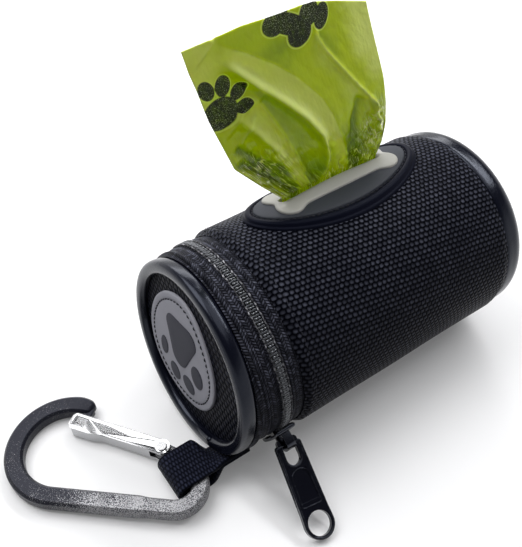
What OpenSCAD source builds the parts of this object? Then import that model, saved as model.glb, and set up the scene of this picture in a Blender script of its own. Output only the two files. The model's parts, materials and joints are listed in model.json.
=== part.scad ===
// Dog waste bag dispenser: a soft zipped tube that holds one roll of bags, feeds them through a
// bone-shaped rubber port, and hangs from a small carabiner on a webbing loop.
// The tube lies along X with its lid at -X, resting on a pressed strip at Z = 0.
// Angles round the tube run from +Y (0) over the top (90) to the front at -Y (180).

/* [Pouch] */
// Outside diameter of the woven sleeve
pouch_d = 60; // [50:1:72]
// Length of the woven sleeve between the zip and the end piping
sleeve_len = 74; // [64:1:100]
// Width of the strip pressed flat under the sleeve
rest_w = 12; // [6:1:14]
// Thickness of the woven fabric
fabric_t = 0.8; // [0.5:0.1:1.2]
// Thickness of the foam under the fabric
foam_t = 2; // [1:0.5:3]
// Thickness of the lining
lining_t = 0.6; // [0.4:0.1:1]

/* [Ends] */
// Width of the lid's piping along the tube
piping_w = 4.6; // [3.5:0.1:6]
// Radial height of the piping
piping_h = 3.9; // [3:0.1:5]
// Depth of the lid's fabric below the edge of its piping
lid_recess = 2.3; // [1:0.1:3]
// Fabric left bare above and below the paw patch
patch_margin = 5.7; // [4:0.1:9]
// Fabric left bare beside the paw patch, both sides averaged
patch_side = 7.7; // [6:0.1:11]
// Fabric left bare on the side that the paw patch is set towards
patch_edge = 3.2; // [2:0.1:7]
// Lean of the zipped lid, its top edge drawn in by the zip
lid_lean = 6; // [0:1:8]
// Distance from the zip's centre to the front of the lid
lid_depth = 13.5; // [13:0.5:18]
// Width of the piping round the closed end
end_piping_w = 7.5; // [5:0.5:10]
// Thickness of the board that keeps each end flat
board_t = 1.2; // [0.8:0.1:2]

/* [Zip] */
// Distance from the sleeve to the centre of the zip
zip_offset = 5.5; // [5:0.5:8]
// Distance from one tooth to the next on the same side
tooth_pitch = 1.5; // [1.5:0.1:2.4]
// Diameter of the coil's wire
coil_wire_d = 0.6; // [0.4:0.05:0.65]
// Length of one tooth across the zip
tooth_len = 2.7; // [2.4:0.1:3.4]
// Angle of the parked slider round the tube
slider_phi = 208; // [200:1:212]
// Angle of the fabric hinge round the tube
hinge_phi = 248; // [245:1:254]
// Width of the fabric hinge round the tube, in degrees
hinge_sweep = 48; // [36:1:52]
// Length of the zip pull
pull_len = 27; // [18:0.5:34]
// Width of the zip pull at its eye
pull_w = 8.6; // [7:0.2:11]

/* [Port] */
// Angle of the port round the tube
port_phi = 70.5; // [60:0.5:110]
// Length of the rubber port
port_len = 57; // [46:1:62]
// Width of the rubber port across the tube
port_w = 30; // [26:1:36]
// Plate left showing past each end of the bone
bone_margin = 8; // [6:0.5:12]
// Width of the slot that the bags come through
slot_w = 2.6; // [2:0.1:4]
// Length of bone past each end of the slot
slot_margin = 3; // [2:0.5:6]

/* [Bags] */
// Outside diameter of the roll of bags
roll_d = 32.4; // [26:0.2:36]
// Length of the roll
roll_len = 58; // [50:1:60]
// Outside diameter of the card core
core_d = 16; // [12:0.5:18]
// Wall of the card core
core_t = 1.1; // [0.8:0.1:2]
// Thickness of the folded bag where it passes through the slot
film_t = 1; // [0.8:0.1:1.4]
// Lean of the drawn bag away from the front, in degrees
film_lean = 8; // [0:1:14]

/* [Carabiner] */
// Distance between the centres of the carabiner's two bends
hook_span = 34.4; // [28:0.2:44]
// Mid-line radius of the large bend
hook_r = 14.6; // [12:0.2:18]
// Mid-line radius of the small bend
eye_r = 6.9; // [6:0.1:8]
// Width of the carabiner's bar
bar_w = 5.4; // [4.4:0.1:6.4]
// Thickness of the carabiner's bar
bar_t = 4.4; // [3.6:0.1:5.2]
// Width of the webbing
webbing_w = 12.5; // [10:0.5:15]
// Thickness of the webbing
webbing_t = 1.1; // [0.8:0.1:1.5]

/* [Hidden] */

$fn = 64;
eps = 0.01;
seat_gap = 0.05;
touch = 0.02;
run_gap = 0.3;

// Pouch
pouch_r = pouch_d / 2;
axis_z = sqrt(pouch_r * pouch_r - rest_w * rest_w / 4);
sleeve_x0 = -sleeve_len / 2;
sleeve_x1 = sleeve_len / 2;
lining_in = fabric_t + foam_t + lining_t;
zip_x = sleeve_x0 - zip_offset;
lid_x = zip_x - lid_depth;
end_x = sleeve_x1 + end_piping_w;
lid_piping_r = pouch_r - 1.4;
end_piping_r = axis_z - 0.2;
end_piping_h = piping_h + 0.8;

// Zip
tape_r = axis_z - 0.9;
tape_t = 0.5;
tape_half = 4.6;
coil_r = tape_r + coil_wire_d / 2 + 0.07;
tape_gap = 0.9;
cord_w = 1.1;
bite = tooth_len - coil_wire_d;
hinge_end = hinge_phi + hinge_sweep / 2;
hinge_start = hinge_phi - hinge_sweep / 2;
zip_sweep = 360 - hinge_sweep;
stop_sweep = 3;
coil_end = slider_phi - 2;
coil_start = hinge_end - 360 + stop_sweep;
tooth_step = tooth_pitch / coil_r * 180 / PI;
tooth_count = floor((coil_end - coil_start) / tooth_step);

// Slider, built over the top of the zip: chain along Y, outwards +Z
slider_len = 11;
slider_w = 8.4;
plate_t = 1;
plate_in = tape_r - tape_t - run_gap - plate_t;
plate_out = coil_r + coil_wire_d / 2 + run_gap;
bridge_in = plate_out + plate_t;
bridge_h = 3.5;
bridge_w = 2.6;
bridge_t = 1;
pull_t = 1.7;
pull_bar_d = 1.5;
pull_bar_r = bridge_in + bridge_h - pull_bar_d / 2 - 0.3;
pull_dir = 208;
pull_skew = -8.5;

// Port
port_rise = 1.5;
bone_rise = 0.7;
bone_floor = 0.6;
rim_w = 3.2;
bone_len = port_len - 2 * bone_margin;
slot_len = bone_len - 2 * slot_margin;
lobe_r = 4.2;
lobe_off = 3.5;
waist_w = 9.4;
window_len = slot_len + 5;
window_w = 12;

// Bags
slot_r = pouch_r + port_rise;
slot_y = slot_r * cos(port_phi);
slot_z = axis_z + slot_r * sin(port_phi);
film_y = slot_y + 0.1;
inner_r = pouch_r - lining_in;
// A slim pouch takes a part-used roll: the largest that lies between the lining and the bag
roll_r = min(roll_d / 2, (inner_r + film_y - film_t / 2 - 2 * run_gap) / 2);
roll_y = film_y - film_t / 2 - roll_r - run_gap;
roll_room = inner_r - roll_r - run_gap;
roll_z = axis_z - sqrt(max(0, roll_room * roll_room - roll_y * roll_y));
film_in_len = slot_len - 2;
crumple_t = 2.4;
bag_out = [
    [-film_in_len / 2 - 0.7, 0], [-20.3, 6], [-29.6, 17.5], [-32, 25], [-36.6, 41], [-39.6, 52],
    [-24, 53], [-4.5, 52.5], [14, 47], [17.9, 25], [18.4, 14], [film_in_len / 2 + 0.8, 0],
];

// Carabiner, built flat: small bend at the origin, large bend along +X, gate on the -Y side
hook_outer = hook_r + bar_w / 2;
eye_band = bar_w - 0.2;
taper = asin((hook_r - eye_r) / hook_span);
spine_len = hook_span * cos(taper);
nose_angle = -96;
chamfer = 0.7;
gate_y = -9;
pivot_x = 8.3;
gate_x1 = hook_span + 2.9;
gate_h = bar_t;
lug_t = 2.3;
fork_gap = 0.2;
pin_d = 1.8;
nose_pin_x = hook_span - 0.1;
nose_pin_y = gate_y - 0.2;
root_phi = 233.6;
root_r = lid_piping_r + webbing_t / 2 + 0.35;
root_y = root_r * cos(root_phi);
carabiner_at = [lid_x - 16, root_y - 0.96];
carabiner_turn = 125.5;
carabiner_z = webbing_t + 0.5 + run_gap + bar_t / 2;
carabiner_dip = atan((carabiner_z - bar_t / 2 - 0.1) / (hook_span + hook_outer));

// Webbing
fold_x = carabiner_at[0] - 1.9;
loop_in_z = webbing_t + 0.15;
loop_out_z = carabiner_z + bar_t / 2 + run_gap + 0.1;
root_x = lid_x + 6;
root_z = axis_z + root_r * sin(root_phi);
root_step = (webbing_t + 0.1) / cos(root_phi - 270);

function on_circle(r, a) = [r * cos(a), r * sin(a)];
function oval(a, b, n = 64) = [for (i = [0:n - 1]) [a * cos(360 * i / n), b * sin(360 * i / n)]];
function mix(a, b, t) = a + (b - a) * t;
function ease(t) = t * t * (3 - 2 * t);

// ---------- frames ----------

// Children built over the top of the tube, turned to an angle round it
module around(phi) {
    translate([0, 0, axis_z]) rotate([phi - 90, 0, 0]) children();
}

// A profile drawn as [radius, x], swept round the tube from one angle over a sweep
module swept(phi, sweep) {
    translate([0, 0, axis_z])
        rotate([0, 90, 0])
            rotate([0, 0, phi + 90])
                rotate_extrude(angle = sweep) children();
}

// A cross-section drawn in Y and Z about the tube's axis, drawn out along X
module along_tube(x, len) {
    translate([x, 0, axis_z]) rotate([90, 0, 90]) linear_extrude(len) children();
}

// The lid's own frame, leaned back about the middle of its front edge
module lid_frame() {
    translate([lid_x, 0, axis_z]) rotate([0, lid_lean, 0]) children();
}

module lid_disc(x, r, t) {
    lid_frame() translate([x, 0, 0]) rotate([0, 90, 0]) cylinder(h = t, r = r);
}

// ---------- pouch ----------

// Outline of the sleeve or of a layer inside it, pressed flat where it rests
module pouch_outline(inset) {
    intersection() {
        circle(r = pouch_r - inset, $fn = 128);
        translate([-pouch_r, inset - axis_z]) square([pouch_d, pouch_d + axis_z]);
    }
}

module pouch_layer(x, len, inset, t) {
    along_tube(x, len) difference() {
        pouch_outline(inset);
        pouch_outline(inset + t);
    }
}

// Window behind the port, through every layer of the wall
module port_window() {
    around(port_phi)
        linear_extrude(pouch_d) polygon(oval(window_len / 2, window_w / 2, 32));
}

module sleeve() {
    color("#23252e") difference() {
        pouch_layer(sleeve_x0, sleeve_len, 0, fabric_t);
        port_window();
    }
}

module foam_wall() {
    color("#3a3a3e") difference() {
        pouch_layer(sleeve_x0, sleeve_len - seat_gap, fabric_t + touch, foam_t - touch);
        port_window();
    }
}

module lining_tube() {
    color("#2c2c30") difference() {
        pouch_layer(sleeve_x0, sleeve_len - seat_gap, fabric_t + foam_t + touch, lining_t - touch);
        port_window();
    }
}

// Rounded bead of piping as [radius, x]: wide corner outside, small lip inside
module bead(r_in, r_out, w, corner, lip) {
    polygon(concat(
        [[r_out, w], [r_in, w]],
        [for (i = [0:5]) [r_in + lip, lip] + on_circle(lip, 180 + 18 * i)],
        [for (i = [0:9]) [r_out - corner, corner] + on_circle(corner, 270 + 10 * i)]));
}

module end_piping() {
    color("#111114")
        translate([end_x, 0, axis_z]) rotate([0, -90, 0]) rotate_extrude($fn = 96)
            bead(end_piping_r - end_piping_h, end_piping_r, end_piping_w, 4.2, 0.8);
}

module end_disc(depth, t) {
    translate([end_x - depth - t, 0, axis_z]) rotate([0, 90, 0])
        cylinder(h = t, r = end_piping_r - end_piping_h - seat_gap);
}

module end_panel() { color("#23252e") end_disc(lid_recess, fabric_t); }

module end_board() { color("#cfcfc8") end_disc(lid_recess + fabric_t, board_t); }

module end_lining() { color("#2c2c30") end_disc(lid_recess + fabric_t + board_t, lining_t); }

// ---------- port ----------

// A flat outline wrapped on the tube between two radii
module wrapped(r0, r1) {
    intersection() {
        around(port_phi) linear_extrude(pouch_d) children();
        along_tube(-port_len, 2 * port_len) difference() {
            circle(r = r1, $fn = 128);
            circle(r = r0, $fn = 128);
        }
    }
}

// Outline of the bone: four lobes on a narrow waist
module bone_outline(grow = 0) {
    for (sx = [-1, 1], sy = [-1, 1])
        translate([sx * (bone_len / 2 - lobe_r), sy * lobe_off]) circle(r = lobe_r + grow, $fn = 48);
    square([bone_len - 2 * lobe_r, waist_w + 2 * grow], center = true);
}

module slot_outline(grow = 0) {
    for (sx = [-1, 1])
        translate([sx * (slot_len - slot_w) / 2, 0]) circle(d = slot_w + 2 * grow, $fn = 32);
    square([slot_len - slot_w, slot_w + 2 * grow], center = true);
}

module port_rim() {
    a = port_len / 2;
    b = port_w / 2;
    color("#17181d") {
        wrapped(pouch_r + touch, pouch_r + 0.8) difference() {
            polygon(oval(a, b));
            polygon(oval(a - rim_w, b - rim_w));
        }
        wrapped(pouch_r + 0.8, pouch_r + port_rise) difference() {
            polygon(oval(a - 1, b - 1));
            polygon(oval(a - rim_w + 0.8, b - rim_w + 0.8));
        }
    }
}

module port_plate() {
    a = port_len / 2 - rim_w - seat_gap;
    b = port_w / 2 - rim_w - seat_gap;
    color("#3b3f46") difference() {
        wrapped(pouch_r + touch, pouch_r + port_rise) polygon(oval(a, b));
        wrapped(pouch_r + bone_floor, pouch_r + 3) bone_outline(seat_gap);
        around(port_phi) linear_extrude(pouch_d) slot_outline(0.8);
    }
}

module port_bone() {
    color("#a7a5a0") difference() {
        wrapped(pouch_r + bone_floor + touch, pouch_r + port_rise + bone_rise) bone_outline();
        around(port_phi) linear_extrude(pouch_d) slot_outline();
    }
}

// ---------- zip ----------

// Flat ribbon round the zip's opening
module tape(x0, x1) {
    swept(hinge_end - 360, zip_sweep)
        translate([tape_r - tape_t, x0]) square([tape_t, x1 - x0]);
}

// One side of the coil: teeth on a cord, offset by a share of the pitch
module coil(side, shift) {
    swept(coil_start, coil_end - coil_start)
        translate([tape_r + touch, side > 0 ? zip_x + bite / 2 : zip_x - bite / 2 - cord_w])
            square([coil_wire_d * 0.7, cord_w]);
    for (i = [0:tooth_count - 1])
        around(coil_start + (i + 0.5 + shift) * tooth_step)
            translate([side > 0 ? zip_x - bite / 2 : zip_x + bite / 2, 0, coil_r])
                rotate([0, side * 90, 0]) cylinder(h = tooth_len, d = coil_wire_d, $fn = 16);
}

module body_zip_tape() { color("#1b1c20") tape(zip_x + tape_gap, sleeve_x0 - seat_gap); }

module lid_zip_tape() { color("#1b1c20") tape(zip_x - tape_half, zip_x - tape_gap); }

module body_zip_coil() { color("#0d0d0f") coil(1, 0); }

module lid_zip_coil() { color("#0d0d0f") coil(-1, 0.5); }

// Crimped stops past both ends of the coil, one on each tape
module zip_stops() {
    color("#1a1a1c")
        for (phi = [hinge_start - stop_sweep, hinge_end - 360])
            swept(phi, stop_sweep - 0.4)
                translate([tape_r + touch, zip_x + tape_gap]) square([0.8, 1.8]);
}

// Folded strip of fabric that joins lid and sleeve where the zip stops
module fabric_hinge() {
    color("#1e1f24") swept(hinge_start + 0.3, hinge_sweep - 0.6)
        translate([tape_r - tape_t, zip_x - tape_half])
            square([tape_t + 0.3, tape_half + zip_offset - seat_gap]);
}

// ---------- lid ----------

module lid_piping() {
    color("#111114") lid_frame() rotate([0, 90, 0])
        rotate_extrude($fn = 96) bead(lid_piping_r - piping_h, lid_piping_r, piping_w, 1.9, 0.6);
}

lid_disc_r = lid_piping_r - piping_h - seat_gap;

module lid_panel() { color("#23252e") lid_disc(lid_recess, lid_disc_r, fabric_t); }

module lid_board() { color("#cfcfc8") lid_disc(lid_recess + fabric_t, lid_disc_r, board_t); }

module lid_lining() {
    color("#2c2c30") lid_disc(lid_recess + fabric_t + board_t, lid_disc_r, lining_t);
}

// Ring of points on the back edge of the lid's piping, leaned with it
function piping_ring(r, n) = [
    for (i = [0:n - 1])
        let (a = 360 * i / n, p = [piping_w, r * cos(a), r * sin(a)])
            [lid_x + p[0] * cos(lid_lean) + p[2] * sin(lid_lean), p[1],
             axis_z - p[0] * sin(lid_lean) + p[2] * cos(lid_lean)]
];
function zip_ring(r, n) = [
    for (i = [0:n - 1]) [zip_x - tape_half, r * cos(360 * i / n), axis_z + r * sin(360 * i / n)]
];

// Side band of the lid, wider at the bottom because the lid leans
module lid_gusset() {
    n = 72;
    rings = concat(
        piping_ring(tape_r, n), zip_ring(tape_r, n),
        zip_ring(tape_r - fabric_t, n), piping_ring(tape_r - fabric_t, n));
    color("#1f2026") polyhedron(rings, [
        for (k = [0:3], i = [0:n - 1])
            let (j = (i + 1) % n, a = k * n, b = (k + 1) % 4 * n) [a + i, a + j, b + j, b + i]
    ], convexity = 4);
}

// Egg-shaped rubber patch, set off towards the back of the lid
patch_half = [lid_disc_r - patch_side, lid_disc_r - patch_margin];
patch_at = [lid_disc_r - patch_half[0] - patch_edge, -1];
pad_scale = patch_half[1] / 19;
patch_t = 0.8;
pad_t = 0.3;

function egg(a, b, n) = [
    for (i = [0:n - 1])
        let (t = 360 * i / n) [a * cos(t) * (1 - 0.13 * sin(t)), b * sin(t)]
];

// Something drawn flat as seen from the front of the lid, raised from a depth in the recess
module on_lid(depth, t) {
    lid_frame() translate([depth, 0, 0]) rotate([90, 0, -90])
        linear_extrude(t) translate([-patch_at[0], patch_at[1]]) children();
}

module paw_patch() {
    color("#98999c") on_lid(lid_recess, patch_t)
        polygon(egg(patch_half[0], patch_half[1], 48));
}

module paw_pads() {
    toes = [[-8.7, -6.5, 2, 3.6, 0], [-2.5, -11.8, 2.7, 3, 25],
            [4.8, -10.6, 3.2, 2.8, -20], [8.7, -3.2, 3, 4, 5]];
    color("#4a4a50") on_lid(lid_recess - patch_t, pad_t) scale(pad_scale) {
        for (t = toes) translate([t[0], t[1]]) rotate(t[4]) polygon(oval(t[2], t[3], 24));
        hull() {
            translate([-4, 6]) circle(r = 3.9, $fn = 32);
            translate([3.8, 7.5]) circle(r = 3.8, $fn = 32);
            translate([-0.6, -3]) circle(r = 3.9, $fn = 32);
        }
    }
}

// ---------- slider and pull ----------

// Plate outline with a narrow tail and two shoulders, chain along Y
module slider_outline(w) {
    hull() {
        for (sx = [-1, 1]) {
            translate([sx * (w * 0.37 - 0.5), 0.5 - slider_len / 2]) circle(r = 0.5, $fn = 16);
            translate([sx * (w / 2 - 1.8), slider_len / 2 - 1.8]) circle(r = 1.8, $fn = 24);
        }
    }
}

// The plates are cut to the curve that they slide on
module slider_plate(r0, r1) {
    intersection() {
        around(slider_phi) translate([zip_x, 0, 0]) rotate([0, 0, 180])
            linear_extrude(pouch_d) slider_outline(slider_w);
        along_tube(zip_x - slider_w, 2 * slider_w) difference() {
            circle(r = r1, $fn = 128);
            circle(r = r0, $fn = 128);
        }
    }
}

module zip_slider() {
    color("#15161a") {
        slider_plate(plate_in, plate_in + plate_t);
        slider_plate(plate_out, plate_out + plate_t);
        around(slider_phi)
            translate([zip_x, -slider_len / 2 + 1.7, plate_in + plate_t / 2])
                cylinder(h = plate_out - plate_in, d = 1.6, $fn = 24);
    }
}

// Arched bridge that holds the pull
module slider_bridge() {
    color("#15161a") difference() {
        around(slider_phi)
            translate([zip_x - bridge_w / 2, 0, bridge_in - 0.6]) rotate([90, 0, 90])
                linear_extrude(bridge_w) difference() {
                    union() {
                        translate([-3.4, 0]) square([6.8, bridge_h - 0.25]);
                        translate([0, bridge_h - 0.25]) scale([1, 0.6]) circle(r = 3.4, $fn = 32);
                    }
                    translate([-2.4, -1]) square([4.8, bridge_h + 0.15]);
                    translate([0, bridge_h - 0.85]) scale([1, 0.62]) circle(r = 2.4, $fn = 32);
                }
        along_tube(zip_x - bridge_w, 2 * bridge_w) circle(r = bridge_in + touch, $fn = 128);
    }
}

// Outline of the pull, hanging along -Y from its bar at the origin
module pull_outline(inset) {
    hull() {
        translate([0, -pull_len + pull_w / 2]) circle(r = pull_w / 2 - inset, $fn = 48);
        for (sx = [-1, 1]) translate([sx * 1.9, 0.2]) circle(r = 1.1 - inset, $fn = 16);
    }
}

module zip_pull() {
    color("#15161a") around(slider_phi) translate([zip_x, 0, pull_bar_r])
        rotate([pull_dir - slider_phi - 90, 0, 0]) {
            translate([-2.4, 0, 0]) rotate([0, 90, 0]) cylinder(h = 4.8, d = pull_bar_d, $fn = 32);
            rotate([0, 0, pull_skew]) difference() {
                translate([0, 0, -pull_t / 2]) linear_extrude(pull_t) pull_outline(0);
                translate([0, -pull_len + pull_w / 2, -pull_t])
                    cylinder(h = 2 * pull_t, r = pull_w / 2 - 1.5, $fn = 48);
                translate([-2, -5.6, -pull_t]) cube([4, 8, 2 * pull_t]);
                for (sz = [-1, 1])
                    translate([0, 0, sz * (pull_t / 2 + 0.2) - 0.5]) linear_extrude(1)
                        polygon([[-2.2, -7.5], [2.2, -7.5], [2.9, -16.5], [-2.9, -16.5]]);
            }
        }
}

// ---------- webbing ----------

// Middle line of the loop in X and Z: up from the seam, over the bar, round the fold and back
loop_start_x = carabiner_at[0] + 9.3;
loop_mid = (loop_in_z + loop_out_z) / 2;
loop_half = (loop_out_z - loop_in_z + webbing_t) / 2;
loop_path = concat(
    [[root_x, root_z], [lid_x - 1, root_z]],
    [for (i = [0:4]) let (t = i / 4)
        [mix(lid_x - 2.6, loop_start_x, t), mix(root_z, loop_mid + loop_half, ease(t))]],
    [for (i = [0:6]) let (a = 90 + 180 * i / 6)
        [fold_x + loop_half * (1 + 0.62 * cos(a)), loop_mid + loop_half * sin(a)]],
    [for (i = [0:4]) let (t = 1 - i / 4)
        [mix(lid_x - 2.6, loop_start_x, t),
         mix(root_z - root_step, loop_mid - loop_half, ease(t))]],
    [[lid_x - 1, root_z - root_step], [root_x, root_z - root_step]]);

// The strap's edges twist to lie along the lid's seam
function loop_twist(x) =
    (root_phi - 270) * ease(min(1, max(0, (x - loop_start_x) / (lid_x - 2.6 - loop_start_x))));

function loop_normal(i) =
    let (n = len(loop_path), a = loop_path[max(0, i - 1)], b = loop_path[min(n - 1, i + 1)],
         d = (b - a) / norm(b - a))
        [-d[1], d[0]];

function loop_section(i) =
    let (p = loop_path[i], n = loop_normal(i) * webbing_t / 2, w = loop_twist(p[0]),
         cy = root_y + 1.43 * (1 - loop_twist(p[0]) / (root_phi - 270)))
        [for (c = [[-1, -1], [1, -1], [1, 1], [-1, 1]])
            [p[0] + n[0] * c[1],
             cy + webbing_w / 2 * cos(w) * c[0] - n[1] * sin(w) * c[1],
             p[1] + webbing_w / 2 * sin(w) * c[0] + n[1] * cos(w) * c[1]]];

module webbing_loop() {
    count = len(loop_path);
    color("#202126") polyhedron(
        [for (i = [0:count - 1]) each loop_section(i)],
        concat([[0, 1, 2, 3]], [
            for (i = [0:count - 2], k = [0:3])
                let (a = 4 * i, b = 4 * (i + 1), m = (k + 1) % 4)
                    each [[a + k, b + k, b + m], [a + k, b + m, a + m]]
        ], [[for (k = [3:-1:0]) 4 * (count - 1) + k]]),
        convexity = 6);
}

// ---------- carabiner ----------

module carabiner_frame() {
    translate([carabiner_at[0], carabiner_at[1], carabiner_z])
        rotate([0, 0, carabiner_turn]) rotate([0, carabiner_dip, 0]) children();
}

// Section of the bar with its edges forged off
module bar_section(w, t) {
    polygon([
        [-w / 2 + chamfer, -t / 2], [w / 2 - chamfer, -t / 2], [w / 2, -t / 2 + chamfer],
        [w / 2, t / 2 - chamfer], [w / 2 - chamfer, t / 2], [-w / 2 + chamfer, t / 2],
        [-w / 2, t / 2 - chamfer], [-w / 2, -t / 2 + chamfer],
    ]);
}

module bend(r, w, a0, a1) {
    rotate([0, 0, a0]) rotate_extrude(angle = a1 - a0, $fn = 96) translate([r, 0]) bar_section(w, bar_t);
}

// The straights are a hair slimmer than the bends that they run into
module straight(len, w) {
    rotate([90, 0, 90]) linear_extrude(len) bar_section(w - 0.06, bar_t - 0.06);
}

module carabiner_body() {
    color("#3c3e45") carabiner_frame() {
        translate([hook_span, 0, 0]) bend(hook_r, bar_w, nose_angle, 90 + taper);
        bend(eye_r, eye_band, 90 + taper, 270);
        rotate([0, 0, taper]) translate([-0.3, eye_r, 0]) straight(spine_len + 0.6, bar_w);
        translate([-0.3, -eye_r, 0]) straight(4.5, eye_band);
        difference() {
            translate([3.4, 0, -lug_t / 2]) linear_extrude(lug_t) union() {
                translate([pivot_x - 3.4, gate_y]) circle(r = 2.2, $fn = 32);
                translate([0, gate_y - 1.4]) square([pivot_x - 3.4, 3.4]);
            }
            translate([pivot_x, gate_y, -bar_t]) cylinder(h = 2 * bar_t, d = pin_d + 0.06, $fn = 32);
        }
        translate([nose_pin_x, 0, 0]) difference() {
            translate([-1.7, -hook_r + 0.4, -1.1]) cube([3.4, hook_r + nose_pin_y + 0.9, 2.2]);
            translate([0, nose_pin_y, -bar_t]) cylinder(h = 2 * bar_t, d = 1.4 + 0.06, $fn = 24);
        }
    }
}

module gate_pin() {
    color("#b9bcc2") carabiner_frame() translate([pivot_x, gate_y, 0]) {
        cylinder(h = bar_t + 0.2, d = pin_d, center = true, $fn = 32);
        for (sz = [-1, 1]) translate([0, 0, sz * (bar_t / 2 + 0.25)])
            cylinder(h = 0.4, d = pin_d + 1, center = true, $fn = 32);
    }
}

module nose_pin() {
    color("#1c1c20") carabiner_frame() translate([nose_pin_x, nose_pin_y, 0])
        cylinder(h = 3.2, d = 1.4, center = true, $fn = 24);
}

// Pressed gate: forked round the lug, pocketed round the nose
module carabiner_gate() {
    color("#c9ccd1") carabiner_frame() difference() {
        union() {
            translate([pivot_x, gate_y, -gate_h / 2]) cylinder(h = gate_h, r = 2.4, $fn = 48);
            translate([pivot_x, gate_y - 2.2, -gate_h / 2]) cube([24 - pivot_x, 4.4, gate_h]);
            translate([0, 0, -gate_h / 2]) linear_extrude(gate_h) polygon([
                [23, gate_y - 2.2], [gate_x1 - 1, gate_y - 2.2], [gate_x1, gate_y - 1.2],
                [gate_x1, gate_y + 1.6], [gate_x1 - 1.4, gate_y + 3], [30, gate_y + 3],
                [26.5, gate_y + 2.2], [23, gate_y + 2.2],
            ]);
        }
        translate([pivot_x - 4, gate_y - 4, -lug_t / 2 - fork_gap])
            cube([7, 8, lug_t + 2 * fork_gap]);
        translate([pivot_x + 2.9, gate_y - 1.3, -lug_t / 2 - fork_gap])
            cube([8, 2.6, lug_t + 2 * fork_gap]);
        translate([pivot_x, gate_y, -bar_t]) cylinder(h = 2 * bar_t, d = pin_d + 0.1, $fn = 32);
        translate([nose_pin_x - 2.2, gate_y - 3, -1.8]) cube([4.2, 4.9, 3.6]);
        translate([nose_pin_x - 1.9, gate_y - 1.3, 0]) cube([3.6, 3, gate_h]);
    }
}

// Small wire spring between the lug and the inside of the gate
module gate_spring() {
    color("#9a9ca2") carabiner_frame()
        translate([pivot_x + 2.25, gate_y, 0]) rotate([0, 90, 0]) cylinder(h = 8, d = 0.7, $fn = 24);
}

// ---------- bags ----------

module roll_tube(r0, r1) {
    translate([-roll_len / 2, roll_y, roll_z]) rotate([0, 90, 0]) difference() {
        cylinder(h = roll_len, r = r1, $fn = 96);
        translate([0, 0, -1]) cylinder(h = roll_len + 2, r = r0, $fn = 64);
    }
}

module roll_core() { color("#b79a6b") roll_tube(core_d / 2 - core_t, core_d / 2); }

module roll_film() { color("#8fae2a") roll_tube(core_d / 2 + seat_gap, roll_r); }

// Folded bag, straight through the slot and fanned out above it
module bag_film() {
    color("#9bbb2e") {
        translate([-film_in_len / 2, film_y - film_t / 2, roll_z])
            cube([film_in_len, film_t, slot_z - roll_z + 3.2]);
        translate([0, film_y, slot_z + 1.3]) rotate([90 - film_lean, 0, 0])
            translate([0, 0, -crumple_t / 2]) linear_extrude(crumple_t) polygon(bag_out);
    }
}

sleeve();
foam_wall();
lining_tube();
end_piping();
end_panel();
end_board();
end_lining();
port_rim();
port_plate();
port_bone();
body_zip_tape();
body_zip_coil();
zip_stops();
fabric_hinge();
lid_piping();
lid_panel();
lid_board();
lid_lining();
lid_gusset();
lid_zip_tape();
lid_zip_coil();
paw_patch();
paw_pads();
zip_slider();
slider_bridge();
zip_pull();
webbing_loop();
carabiner_body();
gate_pin();
nose_pin();
carabiner_gate();
gate_spring();
roll_core();
roll_film();
bag_film();
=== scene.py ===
"""Dresses the frame of a dog waste bag dispenser: woven sleeve, zipped lid, carabiner and drawn bag.

Lengths in the classes are millimetres; the bench turns them into metres as it places them.
"""

from __future__ import annotations

import json
import logging
import math
from contextlib import contextmanager
from dataclasses import dataclass
from enum import Enum
from math import cos, pi, radians, sin, tau
from typing import Callable, Iterator, NamedTuple, Sequence

import bpy
import numpy as np
from mathutils import Matrix, Vector

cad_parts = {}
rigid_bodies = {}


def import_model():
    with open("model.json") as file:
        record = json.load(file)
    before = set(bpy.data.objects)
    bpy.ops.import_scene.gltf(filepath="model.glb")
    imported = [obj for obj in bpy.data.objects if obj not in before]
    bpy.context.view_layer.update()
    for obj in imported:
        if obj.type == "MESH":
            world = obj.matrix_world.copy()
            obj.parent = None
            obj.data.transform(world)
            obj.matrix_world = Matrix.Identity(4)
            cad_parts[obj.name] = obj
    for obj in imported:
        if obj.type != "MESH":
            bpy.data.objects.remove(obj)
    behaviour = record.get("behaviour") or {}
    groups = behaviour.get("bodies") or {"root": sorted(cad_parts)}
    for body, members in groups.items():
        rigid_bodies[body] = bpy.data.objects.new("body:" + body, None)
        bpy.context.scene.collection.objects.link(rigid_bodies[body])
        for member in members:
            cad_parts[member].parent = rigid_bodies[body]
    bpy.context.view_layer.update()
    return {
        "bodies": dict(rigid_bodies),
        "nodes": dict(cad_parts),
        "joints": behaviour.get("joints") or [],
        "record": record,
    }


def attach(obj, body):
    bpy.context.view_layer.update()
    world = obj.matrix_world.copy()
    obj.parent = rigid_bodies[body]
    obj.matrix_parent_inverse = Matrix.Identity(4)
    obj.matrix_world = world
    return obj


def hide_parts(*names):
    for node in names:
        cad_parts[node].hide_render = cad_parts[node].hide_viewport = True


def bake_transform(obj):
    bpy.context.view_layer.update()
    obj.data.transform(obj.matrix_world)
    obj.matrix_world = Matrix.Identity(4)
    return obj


MM = 0.001
METRES = Matrix.Scale(MM, 4)
LOG = logging.getLogger("dispenser")

Rows = np.ndarray
Pair = tuple[float, float]
Spot = tuple[float, float, float]
Colour = tuple[float, float, float]
Place = Callable[[Rows, Rows], Rows]
Node = bpy.types.Node
Tree = bpy.types.NodeTree
Socket = bpy.types.NodeSocket
Piece = bpy.types.Object
Material = bpy.types.Material


# ---------- small sums ----------


def points(x: Rows, y: Rows, z: Rows) -> Rows:
    """Stacks three arrays of coordinates, or single numbers, into rows of points."""
    x, y, z = np.broadcast_arrays(x, y, z)
    return np.stack([x, y, z], axis=-1).astype(float)


def pairs(x: Rows, y: Rows) -> Rows:
    """Stacks two arrays of coordinates into rows of a flat outline."""
    return np.stack([x, y], axis=-1)


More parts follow.
